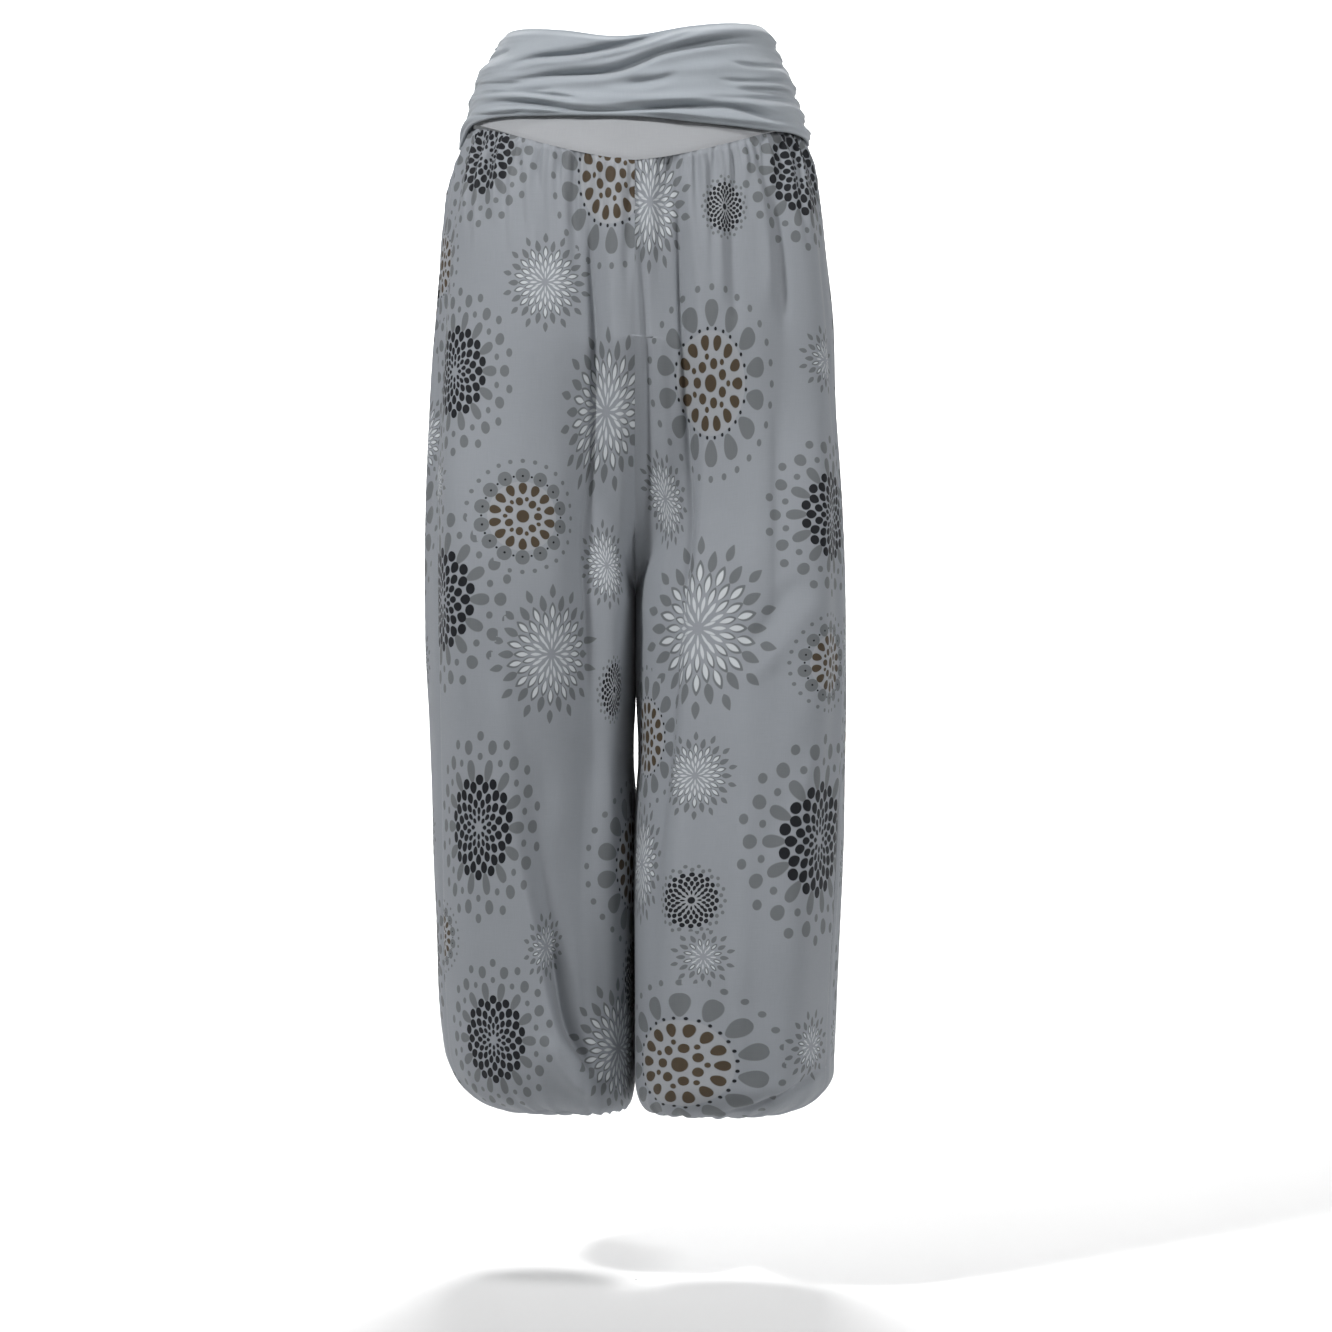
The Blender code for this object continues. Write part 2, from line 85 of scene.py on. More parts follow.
# The gathers of each panel at the yoke and the hem
GATHERS = 10
UNEVEN_GATHERS = ((0.16, 6), (0.09, 14))
WAIST_GATHER = 0.0031
WAIST_GATHER_LENGTH = 0.150
WAIST_GATHER_RISE = 0.025
HEM_GATHER = 0.0010
HEM_GATHER_TOP = 0.940
HEM_GATHER_FULL = 1.075

# The ankle casings
CUFF_TOP = 1.008
CUFF_BOTTOM = 1.034
CUFF_RADIUS = 0.0425
CUFF_WALL = 0.0025
CUFF_PLEAT = 0.0005
CUFF_CENTRE = {LEFT: 0.057, RIGHT: 0.076}

# How far the band stands off the waist, its return inside, and its ruched sides
JERSEY = 0.0014
BAND_LIFT_TOP = 0.0025
BAND_LIFT_HEM = 0.0046
BAND_LIFT_SIDE = 0.0060
BAND_RETURN = 0.014
BAND_RETURN_GAP = 0.0006
RUCHES = 7
RUCHE_HEIGHT = 0.0030
RUCHE_REACH = 0.20


def smooth(share):
    """From 0 to 1 with level ends, and held outside that range."""
    share = np.clip(share, 0.0, 1.0)
    return share * share * (3.0 - 2.0 * share)


def unit(vectors):
    """The vectors at a length of one."""
    return vectors / np.maximum(np.linalg.norm(vectors, axis=-1, keepdims=True), 1e-12)


def distances(points, axis=0):
    """How far each point of a grid is along its line, from the line's start."""
    steps = np.linalg.norm(np.diff(points, axis=axis), axis=-1)
    start = np.zeros_like(np.take(steps, [0], axis=axis))
    return np.concatenate([start, np.cumsum(steps, axis=axis)], axis=axis)


def curve(t, step, start, end, start_slope, end_slope):
    """A smooth curve over a step, from one value and slope to the next."""
    level = start * (1 + 2 * t) * (1 - t) ** 2 + end * t * t * (3 - 2 * t)
    return level + step * t * (1 - t) * (start_slope * (1 - t) - end_slope * t)


class Table:
    """Rows with named columns, read as smooth curves over the first column."""

    def __init__(self, names, *rows):
        self.columns = dict(zip(names.split(), np.array(rows, float).T))
        self.key = self.columns[names.split()[0]]

    def at(self, name, where):
        """The column's value there, level past both ends."""
        key, value = self.key, self.columns[name]
        slope = np.gradient(value, key)
        where = np.clip(where, key[0], key[-1])
        i = np.clip(np.searchsorted(key, where, side="right") - 1, 0, len(key) - 2)
        step = key[i + 1] - key[i]
        t = (where - key[i]) / step
        return curve(t, step, value[i], value[i + 1], slope[i], slope[i + 1])


class Arc:
    """A superellipse's arc that starts on +X, read by its share of the length."""

    def __init__(self, power, quarters, typical_width, typical_depth):
        angle = np.linspace(0.0, quarters * math.pi / 2, ARC_STEPS * quarters + 1)
        self.x = np.sign(np.cos(angle)) * np.abs(np.cos(angle)) ** (2 / power)
        self.y = np.abs(np.sin(angle)) ** (2 / power)
        steps = np.hypot(np.diff(self.x) * typical_width, np.diff(self.y) * typical_depth)
        self.share = np.concatenate([[0.0], np.cumsum(steps)]) / steps.sum()

    def at(self, half_width, depth, share):
        x = half_width * np.interp(share, self.share, self.x)
        return x, depth * np.interp(share, self.share, self.y)


BODY_ARC = Arc(BODY_SQUARENESS, quarters=1, typical_width=0.190, typical_depth=0.125)
LEG_ARC = Arc(LEG_SQUARENESS, quarters=2, typical_width=0.098, typical_depth=0.130)

BODY = Table(
    "drop left right back front",
    (-0.010, 0.1170, 0.1170, 0.0860, 0.0820),
    (0.000, 0.1210, 0.1215, 0.0880, 0.0840),
    (0.033, 0.1380, 0.1370, 0.0930, 0.0880),
    (0.056, 0.1460, 0.1445, 0.0980, 0.0920),
    (0.079, 0.1530, 0.1510, 0.1040, 0.0960),
    (0.095, 0.1585, 0.1560, 0.1080, 0.0985),
    (0.125, 0.1705, 0.1685, 0.1165, 0.1020),
    (0.155, 0.1790, 0.1745, 0.1240, 0.1055),
    (0.210, 0.1860, 0.1820, 0.1330, 0.1110),
    (0.270, 0.1910, 0.1880, 0.1380, 0.1160),
    (0.385, 0.1985, 0.1925, 0.1400, 0.1230),
    (0.470, 0.1998, 0.1980, 0.1390, 0.1260),
    (0.560, 0.1993, 0.2005, 0.1370, 0.1270),
    (0.730, 0.1957, 0.2002, 0.1330, 0.1270),
    (0.870, 0.1925, 0.1966, 0.1280, 0.1240),
    (0.955, 0.1892, 0.1926, 0.1230, 0.1190),
)

# Half the gap between the legs
INNER = Table(
    "drop gap",
    (0.300, 0.0010),
    (0.655, 0.0010),
    (0.680, 0.0024),
    (0.704, 0.0024),
    (0.725, 0.0010),
    (0.955, 0.0010),
)

# How far back each side seam lies, as a share of the way to the centre back
SIDE_SEAM = Table(
    "drop left right",
    (0.090, 0.00, 0.00),
    (0.200, 0.12, 0.06),
    (0.350, 0.20, 0.11),
    (0.600, 0.24, 0.14),
    (0.900, 0.23, 0.14),
    (1.098, 0.20, 0.12),
)

# How each leg rounds in to its casing, from 0 to 1
HEM = Table(
    "run drop left right",
    (0.925, 0.9250, 0.00, 0.00),
    (0.960, 0.9597, 0.03, 0.02),
    (0.990, 0.9885, 0.08, 0.04),
    (1.013, 1.0100, 0.20, 0.07),
    (1.024, 1.0197, 0.30, 0.15),
    (1.037, 1.0285, 0.43, 0.29),
    (1.051, 1.0345, 0.58, 0.48),
    (1.066, 1.0370, 0.73, 0.67),
    (1.082, 1.0370, 0.88, 0.86),
    (1.098, 1.0310, 1.00, 1.00),
)
HEM_END = 1.098
# How much later the hem rounds in beside the inseams
HEM_FULL = 0.55

FOLDS = {
    # For each face, the lines of crests and valleys from the wearer's left to right.
    # Each has its x at the top, its points down the cloth as run, x and height, and
    # its x at the bottom; both ends are level. All are in millimetres.
    BACK: (
        (190, 190),
        (165, (151, 163, 5), (268, 162, 11), (381, 162, 13), (504, 160, 13), (600, 150, 13),
         (694, 125, 12), (779, 103, 13), (845, 88, 14), (906, 77, 14), (963, 63, 12), (1000, 46, 7),
         40),
        (80, (151, 80, 1), (268, 78, 1.5), (381, 78, 0), (504, 80, 0), (600, 86, 1), (676, 90, 0),
         (732, 85, -5), (789, 79, -9), (848, 69, -12), (908, 60, -12), (955, 47, -10), (985, 30, -6),
         24),
        (46, (155, 43, -6), (229, 41, -12), (286, 38, -14), (363, 34, -15), (482, 35, -14.5),
         (583, 32, -14), (658, 29, -14), (734, 26, -16), (811, 25, -18), (878, 22, -18), (950, 16, -12),
         (1000, 14, -5), 12),
        (26, (175, 22, 3), (227, 20, 4), (286, 19, 4), (361, 15, 4), (460, 16, 4), (585, 14, 3),
         (660, 16, 0), (734, 15, -5), (811, 13, -11), (900, 9, -11), 6),
        (-6, (173, -4, -2), (227, -6, -5), (322, -9, -8), (369, -9, -8), (437, -6, -6), (520, -2, -2),
         (620, 0, 0), -2),
        (-36, (143, -37, -7), (193, -40, -11), (250, -42, -14), (318, -44, -15), (365, -46, -15),
         (433, -44, -14), (512, -40, -12), (583, -36, -10), (686, -30, -9), (769, -23, -7),
         (831, -22, -5), (900, -20, -3), -18),
        (-52, (155, -54, 2), (223, -58, 2), (294, -62, 2), (369, -65, 2), (444, -62, 2), (514, -58, 2),
         (583, -54, 3), (686, -50, 4), (769, -47, 5), (829, -46, 5), (900, -46, 3), -44),
        (-82, (200, -90, 3), (300, -95, 4), (400, -95, 4), (500, -92, 4), (600, -85, 3), (680, -78, 0),
         (753, -73, -4), (827, -73, -5), (960, -73, -4), -73),
        (-112, (200, -114, 5), (400, -114, 7), (600, -112, 7), (753, -112, 6), (900, -112, 5), -110),
        (-124, (150, -126, 1), (199, -131, 4), (264, -134, 6), (338, -133, 6), (448, -131, 6),
         (581, -131, 6), (680, -130, 6), (760, -128, 5), -124),
        (-148, (150, -152, 6), (195, -156, 10), (290, -162, 13), (542, -164, 13), (658, -163, 13),
         (734, -155, 11), (829, -154, 10), (951, -154, 7), -150),
        (-190, (195, -192, -1), (383, -196, -2), (658, -196, -2), (829, -194, -1), -190),
    ),
    FRONT: (
        (190, 190),
        (112, (160, 112, 3), (300, 116, 5), (480, 120, 5), (620, 122, 4), (760, 104, 5), (900, 92, 6),
         (1000, 88, 4), 86),
        (66, (160, 66, -4), (300, 68, -7), (420, 68, -7), (560, 64, -6), (700, 60, -5), (840, 52, -4),
         (960, 46, -3), 44),
        (44, (160, 45, 4), (300, 48, 7), (420, 46, 8), (560, 42, 8), (680, 40, 6), (800, 34, 4), 30),
        (4, (250, 4, -2), (340, 4, -5), (480, 6, -6), (600, 5, -5), (700, 8, 0), 8),
        (-32, (160, -33, 4), (300, -36, 7), (430, -36, 8), (560, -33, 8), (700, -30, 6), (820, -26, 3),
         -24),
        (-84, (160, -88, -3), (280, -94, -6), (400, -97, -6), (520, -98, -5), (640, -90, -3),
         (760, -58, -6), (850, -50, -7), (930, -40, -6), (1000, -26, -3), -22),
        (-120, (300, -128, 3), (520, -132, 4), (700, -112, 6), (780, -92, 9), (860, -82, 9),
         (940, -66, 8), (1000, -44, 5), -36),
        (-190, -190),
    ),
}
FOLD_ENDS = (110, 1040)
FOLD_FACING = 0.75
CREASE_FADE = 0.30
CREASE_FADE_MOST = 0.080

BAND_EDGES = {
    BACK: Table(
        "across top hem",
        (-1.00, 0.0020, 0.1045),
        (-0.93, 0.0008, 0.1025),
        (-0.80, -0.0020, 0.1010),
        (-0.60, 0.0000, 0.1015),
        (-0.30, 0.0065, 0.0985),
        (0.00, 0.0160, 0.0930),
        (0.10, 0.0168, 0.0925),
        (0.40, 0.0095, 0.0905),
        (0.70, 0.0035, 0.0885),
        (0.85, 0.0020, 0.0910),
        (0.93, 0.0020, 0.0965),
        (1.00, 0.0030, 0.1080),
    ),
    FRONT: Table(
        "across top hem",
        (-1.00, 0.0020, 0.1045),
        (-0.90, 0.0030, 0.0990),
        (-0.60, 0.0050, 0.0920),
        (-0.10, 0.0120, 0.0930),
        (0.30, 0.0140, 0.0960),
        (0.70, 0.0060, 0.0990),
        (0.92, 0.0030, 0.1035),
        (1.00, 0.0030, 0.1080),
    ),
}
# For each roll, its place down the band at five stations across, its width and height
BAND_STATIONS = (-1.0, -0.55, 0.0, 0.55, 1.0)
BAND_ROLLS = {
    BACK: (
        ((0.05, 0.06, 0.22, 0.40, 0.42), 0.085, 0.0042),
        ((0.48, 0.40, 0.52, 0.58, 0.55), 0.070, 0.0022),
        ((0.74, 0.79, 0.80, 0.79, 0.66), 0.055, 0.0026),
        ((0.93, 0.95, 0.95, 0.94, 0.92), 0.050, 0.0024),
    ),
    FRONT: (
        ((0.42, 0.36, 0.20, 0.08, 0.06), 0.085, 0.0040),
        ((0.58, 0.56, 0.50, 0.42, 0.50), 0.070, 0.0022),
        ((0.70, 0.78, 0.80, 0.78, 0.74), 0.055, 0.0026),
        ((0.92, 0.94, 0.95, 0.95, 0.93), 0.050, 0.0024),
    ),
}


def stand(points):
    """The pose: the legs step apart and pass each other below the crotch."""
    x, y, z = points[..., 0], points[..., 1], points[..., 2]
    down = smooth((-z - STRIDE_TOP) / (STRIDE_END - STRIDE_TOP))
    side = np.tanh(x / STRIDE_WIDTH)
    y = y - STRIDE * down * side
    raised = (HEM_RAISED[LEFT] * (1 + side) + HEM_RAISED[RIGHT] * (1 - side)) / 2
    return np.stack([x + PASSING * down * y, y, z + raised * down], axis=-1)


def yoke_edge(x):
    """The drop of the seam between the yoke and the legs."""
    return YOKE_POINT - YOKE_RISE * (np.abs(x) / YOKE_HALF_WIDTH) ** YOKE_BEND


def fold_height(face, x, run):
    """The height of the deep folds, a smooth curve over their crests and valleys."""
    places, heights = [], []
    for top_x, *rows, end_x in FOLDS[face]:
        rows = [(FOLD_ENDS[0], top_x, 0), *rows, (FOLD_ENDS[1], end_x, 0)]
        line = Table("run x height", *(np.array(rows) * MM))
        places.append(line.at("x", run))
        heights.append(line.at("height", run))
    gaps = np.minimum(np.diff(places, axis=0), -MM)
    slopes = np.diff(heights, axis=0) / gaps
    level = np.zeros((1, *run.shape))
    both = slopes[:-1] * slopes[1:]
    bends = np.where(both > 0, 2 * both / (slopes[:-1] + slopes[1:] + 1e-12), 0.0)
    bends = np.concatenate([level, bends, level])
    height = np.where(x > places[0], heights[0], heights[-1])
    for i, gap in enumerate(gaps):
        t = (x - places[i]) / gap
        between = curve(t, gap, heights[i], heights[i + 1], bends[i], bends[i + 1])
        height = np.where((t >= 0) & (t < 1), between, height)
    return height


def crease_height(creases, along, off):
    """The height of creases, each a line of points across the way it runs."""
    height = np.zeros(np.shape(along))
    for tall, plus, minus, *points in creases:
        off_points, along_points = (np.array(points) * MM).T
        line = Table("along off", *zip(along_points, off_points))
        start, end = along_points[0], along_points[-1]
        away = off - line.at("off", along)
        wide = np.where(away > 0, plus, minus) * MM
        fade = min(CREASE_FADE * (end - start), CREASE_FADE_MOST)
        ends = smooth((along - start) / fade) * smooth((end - along) / fade)
        height += tall * MM * ends * np.exp(-((away / wide) ** 2))
    return height


def gather_turns(share):
    """How many gathers lie before a share of a panel's width."""
    turns = GATHERS * share
    for swing, halves in UNEVEN_GATHERS:
        turns = turns + swing * np.sin(halves * math.pi * share)
    return turns


def gather_height(panel_share, below_seam, run):
    """The height of the gathers at the yoke and at the hem."""
    wave = np.sin(2 * math.pi * gather_turns(panel_share))
    length = WAIST_GATHER_LENGTH * (0.8 + 0.2 * np.sin(9 * math.pi * panel_share))
    rise = 0.45 + 0.55 * smooth(below_seam / WAIST_GATHER_RISE)
    waist = WAIST_GATHER * rise * (1 - smooth(below_seam / length))
    hem = HEM_GATHER * smooth((run - HEM_GATHER_TOP) / (HEM_GATHER_FULL - HEM_GATHER_TOP))
    return wave * (waist + hem)


# --- Creases, in millimetres ---

LEG_CREASES = {
    BACK: (
        # height, reach left, reach right, (x, run) of the points of its line
        (-3.0, 4, 2.5, (44, 155), (42, 229), (38, 286), (35, 363), (36, 482), (33, 583), (31, 658)),
        (-3.0, 4, 2.5, (-39, 143), (-44, 250), (-48, 365), (-46, 433), (-42, 512), (-38, 583)),
        (-3.0, 2.5, 4, (-4, 150), (-6, 227), (-10, 322), (-10, 369), (-6, 450)),
        (1.4, 6, 6, (-23, 268), (-25, 371), (-23, 486), (-19, 631)),
        (-3.2, 6, 5, (-85, 141), (-89, 193), (-91, 248), (-95, 308)),
        (2.2, 5, 5, (-75, 141), (-77, 203), (-79, 286)),
        (-3.4, 6, 5, (-123, 132), (-132, 199), (-135, 264), (-136, 310)),
        (2.6, 6, 5, (-113, 132), (-119, 199), (-121, 284)),
        (-2.0, 6, 10, (-128, 338), (-130, 448), (-131, 581)),
        (-2.5, 10, 8, (-48, 922), (-41, 971), (-40, 1005)),
        (-2.2, 10, 13, (118, 590), (100, 645), (80, 700), (68, 770)),
        (1.8, 10, 10, (134, 600), (116, 668), (98, 730), (90, 790)),
        (2.0, 9, 12, (-166, 530), (-134, 588), (-104, 632)),
        (-1.8, 9, 9, (-152, 515), (-122, 566), (-94, 604)),
        (-1.8, 12, 9, (-168, 640), (-146, 720), (-132, 800)),
        (1.6, 10, 12, (-96, 860), (-104, 930), (-120, 1000)),
        (-4.0, 8, 6, (-190, 984), (-170, 1002), (-140, 1020), (-104, 1034), (-80, 1040)),
        (-3.0, 6, 8, (96, 1040), (70, 1046), (40, 1054), (16, 1060)),
        (2.0, 10, 14, (154, 262), (157, 383), (160, 504)),
        (-1.6, 10, 10, (125, 504), (127, 637), (129, 751)),
        (2.0, 16, 12, (142, 637), (145, 779), (144, 904)),
        (-8.0, 5, 13, (76, 850), (66, 900), (54, 950), (40, 978), (24, 1000), (8, 1014)),
        (4.0, 8, 7, (76, 950), (62, 985), (46, 1008), (30, 1026)),
        (1.4, 4, 4, (115, 122), (112, 229)),
        (-1.2, 4, 4, (104, 124), (101, 211)),
        (1.6, 5, 5, (95, 124), (89, 268)),
        (-1.6, 4, 4, (82, 128), (76, 258)),
        (1.5, 4, 4, (72, 130), (65, 239)),
        (-1.4, 3, 3, (64, 134), (57, 213)),
        (1.2, 3, 3, (55, 134), (52, 203)),
        (-1.2, 3, 3, (32, 136), (29, 203)),
        (-1.4, 4, 4, (8, 141), (8, 268)),
        (1.2, 4, 4, (-16, 143), (-19, 231)),
        (-1.2, 3, 3, (-27, 141), (-30, 203)),
        (1.5, 4, 4, (-48, 136), (-50, 213)),
        (-1.4, 3, 3, (-67, 136), (-68, 203)),
        (-1.3, 4, 4, (-101, 134), (-104, 201)),
        (-1.6, 4, 4, (-143, 128), (-149, 197)),
        (1.0, 4, 4, (-162, 124), (-172, 231)),
        (-1.8, 4, 4, (136, 116), (142, 197)),
        (1.4, 4, 4, (146, 116), (154, 187)),
        (-1.5, 4, 4, (160, 114), (166, 195)),
        (1.3, 4, 4, (125, 120), (128, 199)),
    ),
    FRONT: (
        (1.3, 4, 5, (-118, 118), (-114, 250)),
        (-1.4, 4, 4, (-104, 120), (-100, 216)),
        (1.5, 5, 5, (-88, 124), (-84, 282)),
        (-1.6, 4, 4, (-72, 126), (-68, 244)),
        (1.6, 5, 6, (-56, 130), (-48, 330)),
        (-2.6, 4, 4, (-18, 134), (-16, 300), (-14, 430)),
        (1.4, 5, 5, (-24, 138), (-22, 300)),
        (-1.8, 4, 4, (-9, 140), (-10, 380), (-9, 520)),
        (1.2, 4, 4, (3, 140), (6, 330)),
        (-1.6, 4, 5, (17, 138), (19, 360), (18, 560)),
        (1.5, 5, 4, (30, 136), (28, 410)),
        (-2.6, 4, 3, (62, 130), (64, 260), (65, 420)),
        (1.2, 5, 4, (76, 126), (80, 260)),
        (-1.4, 4, 4, (92, 122), (96, 230)),
        (1.4, 5, 5, (108, 118), (113, 274)),
        (-1.5, 4, 4, (128, 114), (132, 240)),
        (1.0, 4, 4, (-140, 112), (-143, 240)),
        (-1.5, 4, 5, (-152, 112), (-156, 260)),
        (2.2, 14, 10, (-120, 520), (-112, 860)),
        (-2.2, 12, 12, (-66, 560), (-54, 850)),
        (2.2, 12, 14, (64, 600), (70, 900)),
        (-2.2, 10, 10, (112, 560), (108, 900)),
        (1.8, 12, 12, (140, 540), (134, 930)),
        (-2.6, 7, 7, (40, 700), (48, 960)),
        (1.8, 6, 8, (20, 740), (16, 960)),
    ),
}

SIDE_CREASES = {
    LEFT: (
        # height, reach to the back, reach to the front, (y, run) of the points of its line
        (-2.6, 9, 7, (60, 122), (66, 300), (58, 480)),
        (2.4, 12, 10, (36, 170), (46, 420), (42, 660)),
        (-2.2, 7, 9, (-30, 118), (-40, 260), (-34, 400)),
        (2.0, 12, 12, (-58, 180), (-66, 420), (-56, 700)),
        (-2.4, 13, 10, (18, 540), (30, 760), (20, 970)),
        (2.0, 12, 14, (-34, 600), (-20, 820), (-34, 1010)),
        (-2.0, 10, 10, (-72, 500), (-78, 700), (-66, 900)),
        (1.3, 4, 5, (12, 114), (14, 230)),
        (-1.4, 4, 4, (24, 114), (26, 250)),
    ),
    RIGHT: (
        (-2.2, 8, 9, (52, 122), (60, 270), (52, 420)),
        (2.2, 13, 10, (70, 300), (64, 540), (74, 820)),
        (-2.6, 8, 8, (-52, 118), (-60, 320), (-50, 520)),
        (2.2, 11, 12, (-26, 150), (-34, 380), (-24, 600)),
        (-2.0, 11, 12, (34, 560), (26, 780), (36, 990)),
        (2.0, 12, 13, (-62, 580), (-56, 800), (-66, 1000)),
        (-1.8, 10, 10, (-24, 640), (-18, 820), (-28, 960)),
        (1.3, 4, 4, (-12, 112), (-12, 215)),
        (-1.4, 4, 5, (18, 114), (22, 260)),
    ),
}

BAND_CREASES = {
    BACK: (
        # height, reach down, reach up, (drop, x) of the points of its line
        (2.3, 4, 9, (2, -34), (16, 9), (25, 53), (28, 89), (34, 123)),
        (-6.2, 5, 3, (9, -44), (25, 9), (34, 53), (36, 89), (43, 128)),
        (1.5, 3, 3, (15, -42), (31, 9), (40, 53), (42, 89), (48, 126)),
        (-2.2, 4, 3, (7, -66), (18, -42), (36, 9), (44, 53)),
        (2.5, 4, 7, (3, -122), (12, -77), (25, -23), (41, 17), (46, 75), (48, 122)),
        (-5.9, 5, 3, (9, -128), (19, -77), (33, -23), (50, 17), (54, 75), (54, 122), (47, 143)),
        (1.7, 6, 4, (15, -130), (26, -77), (40, -23), (57, 17), (60, 75), (60, 122)),
        (-2.6, 6, 4, (53, -44), (60, -19), (65, 14)),
        (1.6, 4, 4, (62, -40), (69, -10), (71, 30)),
        (-2.2, 3, 3, (68, 70), (67, 98), (61, 127)),
        (-2.2, 3, 3, (80, 44), (75, 70), (69, 104)),
        (-3.0, 3, 2, (78, 43), (74, 70), (67, 114), (61, 156)),
        (2.8, 3, 6, (83, -155), (84, -131), (76, -85), (77, -51), (81, -5), (82, 53), (73, 95),
         (65, 154)),
        (-4.6, 3, 3, (92, -157), (93, -129), (84, -84), (85, -49), (89, 53), (80, 95), (72, 158)),
        (-2.7, 3, 3, (70, -152), (75, -98), (77, -48)),
        (-2.6, 3, 2, (34, -141), (41, -107), (40, -81)),
        (-2.6, 3, 2, (48, -147), (57, -105), (58, -71)),
        (-2.6, 3, 2, (60, -153), (64, -117), (67, -88)),
        (1.6, 3, 3, (54, -150), (60, -110), (62, -80)),
        (-2.4, 3, 2, (86, 88), (88, 127), (80, 157)),
        (-2.4, 3, 2, (60, 98), (56, 127), (50, 151)),
        (-2.2, 3, 2, (24, 112), (26, 136)),
    ),
    FRONT: (
        (2.3, 4, 9, (37, -124), (30, -80), (22, -30), (12, 20), (4, 50)),
        (-5.9, 5, 3, (46, -124), (38, -80), (30, -30), (20, 20), (11, 52)),
        (2.1, 4, 5, (52, -124), (45, -70), (34, -10), (19, 60)),
        (-5.4, 5, 3, (58, -140), (55, -90), (45, 0), (30, 60), (24, 118)),
        (1.7, 6, 4, (64, -140), (61, -90), (51, 0), (37, 60), (31, 118)),
        (-2.4, 5, 4, (70, -120), (64, -40), (58, 40)),
        (1.7, 5, 3, (77, -96), (72, -20), (68, 60)),
        (2.6, 3, 6, (77, -146), (76, -60), (78, 30), (83, 110), (92, 150)),
        (-4.5, 3, 3, (85, -150), (84, -90), (87, -20), (86, 60), (92, 120), (98, 150)),
        (-2.6, 3, 2, (74, 60), (77, 110), (81, 148)),
        (-2.6, 3, 2, (62, 90), (58, 120), (56, 142)),
        (-2.4, 3, 2, (48, 84), (44, 114), (42, 136)),
        (-2.7, 3, 2, (70, -146), (70, -120), (74, -84)),
        (-2.7, 3, 2, (94, -152), (91, -120), (92, -70)),
        (-2.2, 3, 2, (30, -136), (28, -110)),
    ),
}


NOISE_WAVES = 9
NOISE_TALL = 1.5


def soft_noise(x, y, seed, size):
    """A smooth uneven height, mostly from -1 to 1, with bumps of about that size."""
    dice = np.random.default_rng(seed)
    height = np.zeros(np.shape(x))
    for _ in range(NOISE_WAVES):
        angle, phase = dice.uniform(0, 2 * math.pi, 2)
        pitch = size * dice.uniform(0.7, 1.6)
        along = x * math.cos(angle) + y * math.sin(angle)
        height += np.sin(2 * math.pi * along / pitch + phase)
    return height / NOISE_WAVES**0.5 / NOISE_TALL


# Fine relief of the leg cloth: gathers and puckers at the yoke and the hem
WAVE_SWING = 0.35
WAVE_SWING_PITCH = 0.21
FINE_GATHERS = 25
FINE_GATHER = 0.0011
FINE_GATHER_LENGTH = 0.055
FINE_GATHER_LEAST = 0.020
PUCKERS = 46
PUCKER = 0.0005
PUCKER_LENGTH = 0.010
HEM_FINE_GATHERS = 27
HEM_FINE_GATHER = 0.0002
HEM_FINE_LENGTH = 0.075
# The sunk seams, with the cloth level or puckered beside them
SEAM_SUNK = 0.0011
SEAM_REACH = 0.0025
SEAM_RISE = 0.004
SEAM_TUCK = 0.0012
SEAM_ALLOWANCE = 0.0025
SEWN_LEVEL = 0.008
SEWN_REACH = 0.012
INSEAM_REACH = 0.034
INSEAM_TURN = 0.03
SIDE_PUCKER = 0.0004
SIDE_PUCKER_PITCH = 0.013
SIDE_PUCKER_REACH = 0.014
PANEL_WIDTH = 0.185
# The soft unevenness of the whole cloth, longer down than across
CLOTH_UNEVEN = 0.0007
CLOTH_BUMP = 0.055
CLOTH_BUMP_SQUASH = 0.45
CLOTH_QUIET = 0.06
# The leg's creases are deeper than their rows say, by this factor
LEG_CREASE_SCALE = 1.3


def uneven_wave(share, count, seed):
    """Waves across a share, uneven in spacing, from -1 to 1."""
    turns = count * share + WAVE_SWING * soft_noise(share, 0 * share, seed, WAVE_SWING_PITCH)
    return np.sin(2 * math.pi * turns)


